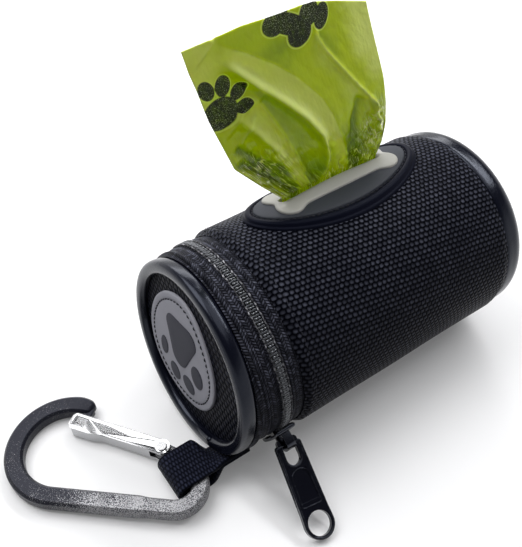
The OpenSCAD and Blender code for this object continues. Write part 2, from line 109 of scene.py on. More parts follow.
def moved(spots: Rows, frame: Matrix) -> Rows:
    """Moves rows of points into a frame."""
    turn = np.array(frame)
    return spots @ turn[:3, :3].T + turn[:3, 3]


def laid(x: float, y: float, z: float) -> Matrix:
    """Gives the frame that lies at a point."""
    return Matrix.Translation((x, y, z))


def turned(degrees: float, axis: str) -> Matrix:
    """Gives the frame that is turned round an axis."""
    return Matrix.Rotation(radians(degrees), 4, axis)


def ease(share: Rows) -> Rows:
    """Turns a share from 0 to 1 into one that starts and stops gently."""
    share = np.clip(share, 0, 1)
    return share * share * (3 - 2 * share)


def hump(value: Rows, middle: float, width: float) -> Rows:
    """Gives a bell-shaped bump, 1 at its middle."""
    return np.exp(-(((value - middle) / width) ** 2))


def crease(value: Rows) -> Rows:
    """Gives a zigzag from -1 to 1 with a period of 1, as sharp folds have."""
    return 4 * np.abs(value - np.floor(value + 0.5)) - 1


def along(line: Rows, share: Rows) -> Rows:
    """Finds points on a line of points, by share of its rows.

    Args:
        line: The rows of points.
        share: Shares from 0, the first row, to 1, the last.

    Returns:
        One point for each share.
    """
    place = np.clip(share, 0, 1) * (len(line) - 1)
    low = np.minimum(place.astype(int), len(line) - 2)
    rest = (place - low)[..., None]
    return line[low] * (1 - rest) + line[low + 1] * rest


def evened(line: Rows, count: int) -> Rows:
    """Spreads points evenly along a line, by length.

    Args:
        line: The rows of points.
        count: How many points to give back.

    Returns:
        The evenly spread rows.
    """
    steps = np.linalg.norm(np.diff(line, axis=0), axis=1)
    reached = np.concatenate([[0.0], np.cumsum(steps)])
    wanted = np.linspace(0, reached[-1], count)
    return np.stack([np.interp(wanted, reached, line[:, k]) for k in range(line.shape[1])], axis=-1)


def inwards(outline: Rows) -> Rows:
    """Gives the direction into a closed flat outline at each of its rows, which run anticlockwise."""
    ring = outline[:-1]
    run = np.roll(ring, -1, axis=0) - np.roll(ring, 1, axis=0)
    run /= np.linalg.norm(run, axis=1)[:, None]
    away = pairs(-run[:, 1], run[:, 0])
    return np.vstack([away, away[:1]])


def shifted(outline: Rows, distance: float) -> Rows:
    """Moves a closed flat outline inwards by a distance."""
    inside = (outline + inwards(outline) * distance)[:-1]
    return np.vstack([inside, inside[:1]])


def arc(middle: Pair, radius: float, start: float, end: float, count: int) -> list[Pair]:
    """Lists points of an arc, with its angles in degrees."""
    turns = np.radians(np.linspace(start, end, count))
    return [(middle[0] + radius * cos(a), middle[1] + radius * sin(a)) for a in turns]


def band_round(circles: Sequence[Spot], count: int = 49) -> Rows:
    """Draws a band tight round several circles.

    Args:
        circles: The x, y and radius of each.
        count: How many rows the band has, the last one on the first.

    Returns:
        The evenly spread rows.
    """
    rows = []
    for turn in np.linspace(0, tau, count):
        run = (cos(turn), sin(turn))
        x, y, radius = max(circles, key=lambda c: c[0] * run[0] + c[1] * run[1] + c[2])
        rows.append((x + radius * run[0], y + radius * run[1]))
    return evened(np.array(rows), count)


# ---------- bench ----------


class Bench:
    """The modelling operators, each used on one piece at a time."""

    @staticmethod
    def clear() -> None:
        """Deselects everything, so that an operator acts on nothing else."""
        bpy.ops.object.select_all(action="DESELECT")

    @staticmethod
    def hold(piece: Piece) -> Piece:
        """Makes a piece the only one that operators act on."""
        Bench.clear()
        piece.select_set(True)
        bpy.context.view_layer.objects.active = piece
        return piece

    @staticmethod
    def named(name: str) -> Piece:
        """Names the piece that an operator has just added."""
        piece = bpy.context.active_object
        piece.name = name
        piece.data.name = name
        return piece

    @staticmethod
    @contextmanager
    def editing(pick: str = "") -> Iterator[None]:
        """Keeps the active piece in edit mode, after selecting all or none of it if asked to."""
        bpy.ops.object.mode_set(mode="EDIT")
        if pick:
            bpy.ops.mesh.select_all(action=pick)
        yield
        bpy.ops.object.mode_set(mode="OBJECT")

    @staticmethod
    def pick_none(piece: Piece) -> Piece:
        """Clears what is selected in a piece, ready for faces to be picked in code."""
        Bench.hold(piece)
        with Bench.editing("DESELECT"):
            bpy.ops.mesh.select_mode(type="FACE")
        return piece

    @staticmethod
    def weld(piece: Piece, gap: float = 0.004, flat: float = 0) -> Piece:
        """Merges the points that meet and turns the faces outwards.

        Args:
            piece: The piece to weld.
            gap: Points nearer than this, in mm, become one.
            flat: Faces that meet at less than this angle, in degrees, become one.

        Returns:
            The same piece.
        """
        Bench.hold(piece)
        with Bench.editing("SELECT"):
            bpy.ops.mesh.remove_doubles(threshold=gap * MM)
            if flat:
                bpy.ops.mesh.dissolve_limited(angle_limit=radians(flat))
            bpy.ops.mesh.normals_make_consistent(inside=False)
        return piece

    @staticmethod
    def spread(name: str, columns: int, rows: int, place: Place, flat: Pair = (1, 1)) -> Piece:
        """Adds a grid, moves each of its points to its place and welds the edges that meet.

        Args:
            name: The piece's name.
            columns: Points along the first direction.
            rows: Points along the second.
            place: Gives points in mm for two arrays of shares from 0 to 1.
            flat: The real size of the cloth in mm, which the UV map keeps.

        Returns:
            The welded piece.
        """
        Bench.clear()
        bpy.ops.mesh.primitive_grid_add(x_subdivisions=columns - 1, y_subdivisions=rows - 1, size=1)
        piece = Bench.named(name)
        mesh = piece.data
        spots = np.empty(len(mesh.vertices) * 3)
        mesh.vertices.foreach_get("co", spots)
        spots = spots.reshape(-1, 3) + 0.5
        mesh.vertices.foreach_set("co", (place(spots[:, 0], spots[:, 1]) * MM).ravel())
        cloth = mesh.uv_layers.active.data
        shares = np.empty(len(cloth) * 2)
        cloth.foreach_get("uv", shares)
        cloth.foreach_set("uv", (shares.reshape(-1, 2) * np.array(flat)).ravel())
        mesh.update()
        return Bench.weld(piece)

    @staticmethod
    def loft(name: str, rings: Sequence[Rows]) -> Piece:
        """Joins closed rings of points, each with as many rows, into one skin.

        Args:
            name: The piece's name.
            rings: The rings in order, in mm, the last row of each on its first.

        Returns:
            The welded skin.
        """
        stack = np.stack(rings)
        turns, count = stack.shape[0], stack.shape[1]

        def place(u: Rows, v: Rows) -> Rows:
            """Picks the ring and the row that a grid point stands for."""
            return stack[np.rint(v * (turns - 1)).astype(int), np.rint(u * (count - 1)).astype(int)]

        return Bench.spread(name, count, turns, place)

    @staticmethod
    def apply(piece: Piece, kind: str, **settings: object) -> Piece:
        """Adds a modifier, sets it and applies it.

        Args:
            piece: The piece to change.
            kind: The modifier's type.
            **settings: Its properties.

        Returns:
            The same piece.
        """
        Bench.hold(piece)
        bpy.ops.object.modifier_add(type=kind)
        modifier = piece.modifiers[-1]
        for key, value in settings.items():
            setattr(modifier, key, value)
        bpy.ops.object.modifier_apply(modifier=modifier.name)
        return piece

    @staticmethod
    def thicken(piece: Piece, thickness: float, offset: float = -1) -> Piece:
        """Gives a skin its thickness in mm, inwards unless the offset says otherwise."""
        return Bench.apply(piece, "SOLIDIFY", thickness=thickness * MM, offset=offset, use_even_offset=True)

    @staticmethod
    def round_edges(piece: Piece, width: float, steps: int = 2, angle: float = 35) -> Piece:
        """Rounds the edges sharper than an angle in degrees, to a width in mm, in a few steps."""
        return Bench.apply(
            piece, "BEVEL", width=width * MM, segments=steps, limit_method="ANGLE",
            angle_limit=radians(angle), use_clamp_overlap=True, miter_outer="MITER_ARC",
        )

    @staticmethod
    def smooth(piece: Piece, angle: float = 40) -> Piece:
        """Shades a piece smooth apart from edges sharper than an angle in degrees."""
        Bench.hold(piece)
        bpy.ops.object.shade_smooth_by_angle(angle=radians(angle))
        return piece

    @staticmethod
    def even_smooth(piece: Piece) -> Piece:
        """Makes large flat faces shade flat, and leaves the bend to the faces along the edges."""
        return Bench.apply(Bench.smooth(piece, 45), "WEIGHTED_NORMAL", keep_sharp=True)

    @staticmethod
    def sink_panel(piece: Piece, facing: Vector, edge: float, depth: float) -> None:
        """Sinks the largest flat face that looks one way, inside a raised edge.

        Args:
            piece: The piece to change.
            facing: The direction that the face looks.
            edge: Width of the raised edge in mm.
            depth: How deep the face sinks, in mm.
        """
        Bench.pick_none(piece)
        near = [face for face in piece.data.polygons if face.normal.dot(facing) > 0.999]
        max(near, key=lambda face: face.area).select = True
        with Bench.editing():
            bpy.ops.mesh.select_mode(type="FACE")
            bpy.ops.mesh.inset(thickness=edge * MM, depth=-depth * MM)

    @staticmethod
    def join(name: str, pieces: Sequence[Piece]) -> Piece:
        """Joins pieces into one, under a name.

        Args:
            name: The joined piece's name.
            pieces: What to join.

        Returns:
            The joined piece.
        """
        Bench.hold(pieces[0])
        for piece in pieces:
            piece.select_set(True)
        bpy.ops.object.join()
        return Bench.named(name)

    @staticmethod
    def laid_out(name: str, mesh: bpy.types.Mesh, place: Matrix) -> Piece:
        """Makes a piece of a mesh's copy, moved to a place."""
        piece = bpy.data.objects.new(name, mesh.copy())
        piece.data.transform(place)
        bpy.context.collection.objects.link(piece)
        return piece

    @staticmethod
    def repeat(name: str, model: Piece, places: Sequence[Matrix]) -> Piece:
        """Copies a model to each place, joins the copies and removes the model.

        Args:
            name: The name of the joined copies.
            model: The piece that was modelled once, at the origin, in metres.
            places: Where each copy goes.

        Returns:
            The joined copies.
        """
        copies = [Bench.laid_out(name, model.data, place) for place in places]
        bpy.data.objects.remove(model)
        return Bench.join(name, copies)

    @staticmethod
    def cast(name: str, node: str) -> Piece:
        """Copies a CAD node's solid, with its triangles merged back into flat faces."""
        source = bpy.data.objects[node]
        piece = Bench.laid_out(name, source.data, source.matrix_world)
        piece.data.name = name
        piece.data.materials.clear()
        return Bench.weld(piece, 0.01, 2)

    @staticmethod
    def cylinder(name: str, radius: float, depth: float, place: Matrix, sides: int) -> Piece:
        """Adds a round bar, ready to be shaped or cut away, with its place in its mesh.

        Args:
            name: The piece's name.
            radius: In mm.
            depth: Along its own Z, in mm.
            place: Its place, in mm.
            sides: Faces round it.

        Returns:
            The bar.
        """
        Bench.clear()
        bpy.ops.mesh.primitive_cylinder_add(vertices=sides, radius=radius, depth=depth)
        piece = Bench.named(name)
        piece.data.transform(METRES @ place)
        return piece

    @staticmethod
    def block(name: str, size: Spot, place: Matrix) -> Piece:
        """Adds a block, ready to be shaped or cut away, with its place in its mesh.

        Args:
            name: The piece's name.
            size: Its three sides in mm.
            place: Its place, in mm.

        Returns:
            The block.
        """
        Bench.clear()
        bpy.ops.mesh.primitive_cube_add(size=1)
        piece = Bench.named(name)
        piece.data.transform(METRES @ place @ Matrix.Diagonal((*size, 1)))
        return piece

    @staticmethod
    def slab(name: str, outline: Rows, reach: float, place: Matrix) -> Piece:
        """Draws a flat outline as one face and extrudes it to both sides of a frame's floor.

        Args:
            name: The piece's name.
            outline: Its rows in mm, without a repeated last row.
            reach: How far it stands up and down, in mm.
            place: The frame that it is drawn in, in mm.

        Returns:
            The slab.
        """
        Bench.clear()
        bpy.ops.mesh.primitive_circle_add(vertices=len(outline), radius=1, fill_type="NGON")
        piece = Bench.named(name)
        for vertex, spot in zip(piece.data.vertices, outline):
            vertex.co = (spot[0], spot[1], -reach)
        with Bench.editing("SELECT"):
            bpy.ops.mesh.extrude_region_move(TRANSFORM_OT_translate={"value": (0, 0, 2 * reach)})
            bpy.ops.mesh.select_all(action="SELECT")
            bpy.ops.mesh.normals_make_consistent(inside=False)
        piece.data.transform(METRES @ place)
        return piece

    @staticmethod
    def cut(piece: Piece, tools: Sequence[Piece]) -> Piece:
        """Cuts tools out of a piece and throws the tools away."""
        for tool in tools:
            Bench.apply(piece, "BOOLEAN", operation="DIFFERENCE", object=tool, solver="EXACT")
            bpy.data.objects.remove(tool)
        return piece


# ---------- shader nodes ----------


class Graph:
    """Places and joins the nodes of one tree."""

    def __init__(self, tree: Tree) -> None:
        """Starts on an empty tree."""
        self.tree = tree
        tree.nodes.clear()

    def feed(self, socket: Socket, value: object) -> None:
        """Joins a socket to an input, or sets the input to a constant."""
        if isinstance(value, Socket):
            self.tree.links.new(value, socket)
        else:
            socket.default_value = value

    def node(self, kind: str, *values: object, **settings: object) -> Node:
        """Adds a node, sets its properties and feeds its inputs in order.

        Args:
            kind: The node's type.
            *values: What its first inputs are fed with.
            **settings: Its properties.

        Returns:
            The node.
        """
        made = self.tree.nodes.new(kind)
        for key, value in settings.items():
            setattr(made, key, value)
        for socket, value in zip(made.inputs, values):
            self.feed(socket, value)
        return made

    def fill(self, made: Node, **values: object) -> Node:
        """Feeds a node's inputs by name, with _ for a space."""
        for key, value in values.items():
            self.feed(made.inputs[key.replace("_", " ")], value)
        return made

    def sum(self, operation: str, *values: object) -> Socket:
        """Works out one of the Math node's operations."""
        return self.node("ShaderNodeMath", *values, operation=operation).outputs[0]

    def plus(self, first: object, second: object) -> Socket:
        """Adds two values."""
        return self.sum("ADD", first, second)

    def less(self, first: object, second: object) -> Socket:
        """Takes the second value from the first."""
        return self.sum("SUBTRACT", first, second)

    def times(self, first: object, second: object) -> Socket:
        """Multiplies two values."""
        return self.sum("MULTIPLY", first, second)

    def clip(self, value: Socket) -> Socket:
        """Keeps a value between 0 and 1."""
        return self.node("ShaderNodeMath", value, 0, operation="ADD", use_clamp=True).outputs[0]

    def span(self, value: object, low: float, high: float, start: float = 0, end: float = 1) -> Socket:
        """Maps a value smoothly from one range to another."""
        values = (value, low, high, start, end)
        return self.node("ShaderNodeMapRange", *values, interpolation_type="SMOOTHSTEP").outputs[0]

    def mix(self, share: object, first: object, second: object) -> Socket:
        """Mixes two colours."""
        made = self.node("ShaderNodeMix", share, data_type="RGBA")
        for socket, colour in zip(made.inputs[6:8], (first, second)):
            self.feed(socket, colour if isinstance(colour, Socket) else (*colour, 1))
        return made.outputs[2]

    def noise(self, vector: Socket, scale: object, detail: float = 3, rough: float = 0.55) -> Node:
        """Adds a noise texture."""
        made = self.node("ShaderNodeTexNoise")
        return self.fill(made, Vector=vector, Scale=scale, Detail=detail, Roughness=rough)

    def cloud(self, vector: Socket, scale: float, detail: float) -> Socket:
        """Gives the value of a noise."""
        return self.noise(vector, scale, detail).outputs["Fac"]

    def stretched(self, vector: Socket, scale: Spot) -> Socket:
        """Multiplies coordinates by a scale along each axis."""
        return self.fill(self.node("ShaderNodeMapping", vector), Scale=scale).outputs[0]

    def parts(self, vector: Socket) -> tuple[Socket, Socket, Socket]:
        """Splits a vector into its three coordinates."""
        return tuple(self.node("ShaderNodeSeparateXYZ", vector).outputs)

    def own_tone(self, column: Socket, row: Socket) -> Socket:
        """Gives each cell of a pattern a random value of its own."""
        cell = self.node("ShaderNodeCombineXYZ", self.sum("FLOOR", column), self.sum("FLOOR", row), 0.0)
        return self.node("ShaderNodeTexWhiteNoise", cell.outputs[0], noise_dimensions="2D").outputs["Value"]

    def kept(self, name: str) -> Socket:
        """Gives the value that the mesh keeps at its points under a name."""
        return self.node("ShaderNodeAttribute", attribute_name=name).outputs["Fac"]


class Effect(Enum):
    """The effects that several finishes share, each one node group."""

    WEAVE = "Plain weave"
    RIBS = "Ribbed tape"
    GRAIN = "Moulded grain"
    SPECKLE = "Worn speckle"
    MOTTLE = "Uneven tone"


class Effects:
    """Builds each effect's node group once."""

    def __init__(self) -> None:
        """Starts with no groups built."""
        self.built: dict[Effect, Tree] = {}

    def get(self, effect: Effect) -> Tree:
        """Gives an effect's node group, built at the first call by the method of its name."""
        if effect not in self.built:
            self.built[effect] = getattr(self, effect.name.lower())(effect.value)
        return self.built[effect]

    @staticmethod
    def blank(name: str, inputs: Sequence[str], outputs: Sequence[str]) -> tuple[Graph, list[Socket], Node]:
        """Starts a node group that takes a vector and plain values.

        Args:
            name: Its name.
            inputs: The names of its plain values.
            outputs: The names of its outputs, all plain values.

        Returns:
            The graph, its inputs in order, and the output node.
        """
        tree = bpy.data.node_groups.new(name, "ShaderNodeTree")
        tree.interface.new_socket(name="Vector", in_out="INPUT", socket_type="NodeSocketVector")
        for title in inputs:
            tree.interface.new_socket(name=title, in_out="INPUT", socket_type="NodeSocketFloat")
        for title in outputs:
            tree.interface.new_socket(name=title, in_out="OUTPUT", socket_type="NodeSocketFloat")
        graph = Graph(tree)
        entry = graph.node("NodeGroupInput")
        return graph, list(entry.outputs)[: len(inputs) + 1], graph.node("NodeGroupOutput")

    def weave(self, name: str) -> Tree:
        """Plump knots in slanting rows over sunken threads, each knot with a tone of its own and painted
        shade across it, lighter on one side than the other.
        """
        graph, given, leave = self.blank(name, ["Pitch", "Wander"], ["Height", "Knot", "Tone", "Shade"])
        spot, pitch, wander = given
        x, y, _ = graph.parts(spot)
        shift = graph.times(graph.less(graph.cloud(spot, 0.16, 2), 0.5), wander)
        a = graph.plus(graph.sum("DIVIDE", x, pitch), shift)
        b = graph.plus(graph.sum("DIVIDE", y, pitch), shift)
        column = graph.plus(graph.times(a, 0.9), graph.times(b, 0.7))
        row = graph.less(graph.times(b, 1.1), graph.times(a, 0.16))
        in_column = graph.less(graph.sum("FRACT", column), 0.5)
        in_row = graph.less(graph.sum("FRACT", row), 0.5)
        across = graph.less(in_column, graph.times(in_row, 0.636))
        up = graph.plus(graph.times(in_column, 0.145), graph.times(in_row, 0.818))
        wide = graph.sum("POWER", graph.sum("ABSOLUTE", graph.sum("DIVIDE", across, 0.5)), 2.6)
        tall = graph.sum("POWER", graph.sum("ABSOLUTE", graph.sum("DIVIDE", up, 0.46)), 2.6)
        knot = graph.sum("POWER", graph.clip(graph.less(1.0, graph.plus(wide, tall))), 0.55)
        under = graph.sum("ABSOLUTE", graph.sum("SINE", graph.times(across, tau)))
        # Painted shade across each knot: one side lighter and the other darker, as a lamp from one side would
        # light it.
        slope = graph.plus(graph.times(up, 1.1), graph.times(across, -0.5))
        graph.fill(
            leave, Height=graph.sum("MAXIMUM", knot, graph.times(under, 0.3)), Knot=knot,
            Shade=graph.clip(graph.plus(0.45, slope)), Tone=graph.own_tone(column, row),
        )
        return graph.tree

    def ribs(self, name: str) -> Tree:
        """Cords side by side, each crossed by fine slanted threads like a herringbone."""
        graph, given, leave = self.blank(name, ["Rib width", "Thread width", "Slant"], ["Height", "Tone"])
        spot, rib, thread, slant = given
        x, y, _ = graph.parts(spot)
        a = graph.sum("DIVIDE", x, rib)
        share = graph.less(graph.sum("FRACT", a), 0.5)
        odd = graph.sum("ABSOLUTE", graph.sum("MODULO", graph.sum("FLOOR", a), 2.0))
        side = graph.less(1.0, graph.times(odd, 2.0))
        lean = graph.times(graph.times(share, side), slant)
        b = graph.plus(graph.sum("DIVIDE", y, thread), lean)
        b = graph.plus(b, graph.times(side, 0.25))
        cord = graph.clip(graph.sum("COSINE", graph.times(share, 2.7)))
        ridge = graph.sum("ABSOLUTE", graph.sum("SINE", graph.times(b, pi)))
        height = graph.times(graph.sum("SQRT", cord), graph.plus(0.35, graph.times(ridge, 0.65)))
        graph.fill(leave, Height=height, Tone=graph.own_tone(a, b))
        return graph.tree

    def grain(self, name: str) -> Tree:
        """Fine skin of moulded rubber, vinyl or enamel."""
        graph, given, leave = self.blank(name, ["Fineness", "Swell"], ["Height", "Tone"])
        spot, fineness, swell = given
        fine, broad = graph.noise(spot, fineness, 4, 0.5), graph.noise(spot, swell, 2, 0.5)
        graph.fill(leave, Height=fine.outputs["Fac"], Tone=broad.outputs["Fac"])
        return graph.tree

    def speckle(self, name: str) -> Tree:
        """Bright specks where a coating is rubbed, thicker towards one side of the piece."""
        graph, given, leave = self.blank(name, ["Fineness", "Amount"], ["Mask"])
        spot, fineness, amount = given
        specks = graph.noise(spot, fineness, 2, 0.5).outputs["Fac"]
        wanted = graph.plus(graph.times(specks, 0.95), graph.times(graph.cloud(spot, 0.14, 2), 0.2))
        edge = graph.less(1.02, graph.times(amount, 0.6))
        graph.fill(leave, Mask=graph.clip(graph.times(graph.less(wanted, edge), 8.0)))
        return graph.tree

    def mottle(self, name: str) -> Tree:
        """Slow change of tone over a surface, with dust in a few places."""
        graph, (spot, size), leave = self.blank(name, ["Size"], ["Tone", "Dust"])
        scaled = graph.node("ShaderNodeVectorMath", spot, operation="SCALE")
        graph.fill(scaled, Scale=graph.sum("DIVIDE", 1.0, size))
        dust = graph.span(graph.cloud(spot, 2.3, 1), 0.76, 0.82)
        graph.fill(leave, Tone=graph.cloud(scaled.outputs[0], 1.0, 3), Dust=dust)
        return graph.tree


class Canvas(Graph):
    """A material's graph, with the shared effects and the pattern's coordinates in mm."""

    def __init__(self, tree: Tree, effects: Effects) -> None:
        """Starts on an empty tree, with no coordinates yet."""
        super().__init__(tree)
        self.effects = effects
        self.spot: Socket | None = None

    def lay(self, effect: Effect, **values: object) -> Node:
        """Places a shared effect on the pattern's coordinates, with its own values."""
        made = self.node("ShaderNodeGroup", node_tree=self.effects.get(effect))
        return self.fill(made, Vector=self.spot, **values)

    def aged(self, lit: Socket, size: float) -> tuple[Socket, Socket]:
        """Varies a pattern's light slowly over the cloth.

        Args:
            lit: How light the pattern is.
            size: Size of the patches in mm.

        Returns:
            The varied light, and where dust lies.
        """
        slow = self.lay(Effect.MOTTLE, Size=size)
        varied = self.times(lit, self.plus(0.6, self.times(slow.outputs["Tone"], 0.8)))
        return varied, slow.outputs["Dust"]


class Source(Enum):
    """Where a finish takes its pattern's coordinates from."""

    OBJECT = "Object"
    UV = "UV"


class Skin(NamedTuple):
    """A surface: its colour, roughness and height from 0 to 1, and the height's size in mm."""

    colour: Socket
    rough: Socket
    height: Socket
    depth: float


LINT: Colour = (0.12, 0.12, 0.14)
# Painted shade: the near-black colour of the gaps between the knots of woven nylon.
PAINTED_GAP_SHADE: Colour = (0.0004, 0.0006, 0.0025)
COOL: Colour = (0.75, 0.82, 1)


@dataclass(frozen=True)
class Finish:
    """A finish with no pattern but its own uneven tone and grain.

    Attributes:
        name: The material's name.
        colour: The surface's main colour.
        deep: Its colour in dark patches; on woven and ribbed cloth the painted shade in the gaps, and on the
            bag the painted shade and the deepest layers.
        roughness: Of the surface.
        metallic: 1 for bare metal.
        coat: Weight of a clear gloss coat.
        specular: Strength of its plain shine, 0.5 for common plastic.
        tint: Colour of that shine.
        source: Where its pattern lies.
        grain: How fine its grain is, in repeats per mm.
        grain_depth: Depth of the grain in mm.
        uneven: How far roughness wanders.
    """

    name: str
    colour: Colour
    deep: Colour
    roughness: float = 0.5
    metallic: float = 0
    coat: float = 0
    specular: float = 0.5
    tint: Colour = (1, 1, 1)
    source: Source = Source.OBJECT
    grain: float = 3
    grain_depth: float = 0.02
    uneven: float = 0.1

    def coordinates(self, graph: Graph) -> Socket:
        """Gives the pattern's coordinates in mm."""
        place = graph.node("ShaderNodeTexCoord")
        if self.source is Source.UV:
            return place.outputs["UV"]
        return graph.stretched(place.outputs["Object"], (1 / MM, 1 / MM, 1 / MM))

    def surface(self, graph: Canvas) -> Skin:
        """Works out an even surface with a fine grain.

        Args:
            graph: The material's graph.

        Returns:
            The surface.
        """
        skin = graph.lay(Effect.GRAIN, Fineness=self.grain, Swell=0.08)
        colour = graph.mix(skin.outputs["Tone"], self.deep, self.colour)
        rough = graph.plus(graph.times(skin.outputs["Tone"], self.uneven), self.roughness - self.uneven / 2)
        return Skin(colour, rough, skin.outputs["Height"], self.grain_depth)

    def material(self, effects: Effects) -> Material:
        """Builds the material.

        Args:
            effects: The shared node groups.

        Returns:
            The finished material.
        """
        made = bpy.data.materials.new(self.name)
        made.use_nodes = True
        graph = Canvas(made.node_tree, effects)
        shader = graph.node("ShaderNodeBsdfPrincipled")
        graph.node("ShaderNodeOutputMaterial", shader.outputs[0])
        graph.spot = self.coordinates(graph)
        skin = self.surface(graph)
        bump = graph.node("ShaderNodeBump")
        graph.fill(bump, Strength=1, Distance=skin.depth * MM, Height=skin.height)
        graph.fill(
            shader, Base_Color=skin.colour, Roughness=skin.rough, Metallic=self.metallic,
            Specular_Tint=(*self.tint, 1), Specular_IOR_Level=self.specular, Coat_Weight=self.coat,
            Coat_Roughness=0.12, Sheen_Weight=0, Sheen_Roughness=0.4, Normal=bump.outputs[0],
        )
        self.extras(graph, shader)
        return made

    def extras(self, graph: Graph, shader: Node) -> None:
        """Leaves the shader as it is; a finish of its own kind may add to it."""


@dataclass(frozen=True)
class Woven(Finish):
    """Cloth of plump knots over sunken threads.

    Attributes:
        pitch: Distance between knots along a row, in mm.
        relief: Height of a knot in mm.
        wander: How far the rows stray, in knots.
        knot_gloss: How much smoother the top of a knot is.
    """

    source: Source = Source.UV
    pitch: float = 1.52
    relief: float = 0.34
    wander: float = 0.5
    knot_gloss: float = 0.2

    def surface(self, graph: Canvas) -> Skin:
        """Works out a surface of knots, each with a tone of its own, a painted highlight on its crown and
        painted shade in the gaps between knots.

        Args:
            graph: The material's graph.

        Returns:
            The surface.
        """
        knots = graph.lay(Effect.WEAVE, Pitch=self.pitch, Wander=self.wander).outputs
        own = graph.plus(0.5, graph.times(knots["Tone"], 0.5))
        # Painted highlight: only the crown of each knot takes the bright colour, dimmed across the knot by
        # its painted shade; the gaps take the deep colour as painted shade.
        lit = graph.times(graph.sum("POWER", knots["Knot"], 3.2), own)
        lit, dust = graph.aged(graph.times(lit, knots["Shade"]), 14.0)
        lit = graph.times(lit, graph.plus(0.55, graph.times(graph.cloud(graph.spot, 5.0, 2), 0.9)))
        colour = graph.mix(graph.clip(lit), self.deep, self.colour)
        colour = graph.mix(graph.times(dust, 0.25), colour, LINT)
        rough = graph.less(self.roughness, graph.times(knots["Knot"], self.knot_gloss))
        return Skin(colour, rough, knots["Height"], self.relief)


@dataclass(frozen=True)
class Ribbed(Finish):
    """Narrow fabric of ribs side by side.

    Attributes:
        rib: Width of a rib in mm.
        thread: Width of the threads across it in mm.
        slant: How far the threads slant, in threads.
        relief: Height of a rib in mm.
        fleck: How much the threads differ in tone, from 0 to 1.
    """

    source: Source = Source.UV
    rib: float = 0.9
    thread: float = 0.45
    slant: float = 1.2
    relief: float = 0.2
    fleck: float = 0.9

    def surface(self, graph: Canvas) -> Skin:
        """Works out a surface of ribs, crossed by threads of uneven tone, with painted light on their raised
        crowns and painted shade in the gaps.

        Args:
            graph: The material's graph.

        Returns:
            The surface.
        """
        ribs = graph.lay(Effect.RIBS, Rib_width=self.rib, Thread_width=self.thread, Slant=self.slant).outputs
        share = graph.times(graph.sum("POWER", ribs["Tone"], 2.2), self.fleck)
        own = graph.plus(1.1 - self.fleck, share)
        # Painted light and shade: raised crowns take the bright colour and the gaps between ribs the deep
        # colour.
        lit, dust = graph.aged(graph.times(graph.sum("POWER", ribs["Height"], 2.2), own), 9.0)
        colour = graph.mix(graph.clip(lit), self.deep, self.colour)
        colour = graph.mix(graph.times(dust, 0.2), colour, LINT)
        rough = graph.less(self.roughness, graph.times(ribs["Height"], self.uneven))
        return Skin(colour, rough, ribs["Height"], self.relief)


@dataclass(frozen=True)
class Worn(Finish):
    """A coated metal or label with bright specks where it is rubbed.

    Attributes:
        bare: Colour of the specks.
        fineness: Specks per mm.
        amount: Share of the surface with specks.
        sloped: Whether the specks gather towards -Y.
    """

    bare: Colour = (0.4, 0.4, 0.42)
    fineness: float = 2.6
    amount: float = 0.5
    sloped: bool = False

    def surface(self, graph: Canvas) -> Skin:
        """Works out a coating with its specks.

        Args:
            graph: The material's graph.

        Returns:
            The surface.
        """
        skin = super().surface(graph)
        amount = self.amount
        if self.sloped:
            amount = graph.span(graph.parts(graph.spot)[1], 6.0, -17.0, 0.5, self.amount)
        specks = graph.lay(Effect.SPECKLE, Fineness=self.fineness, Amount=amount)
        return skin._replace(colour=graph.mix(specks.outputs["Mask"], skin.colour, self.bare))


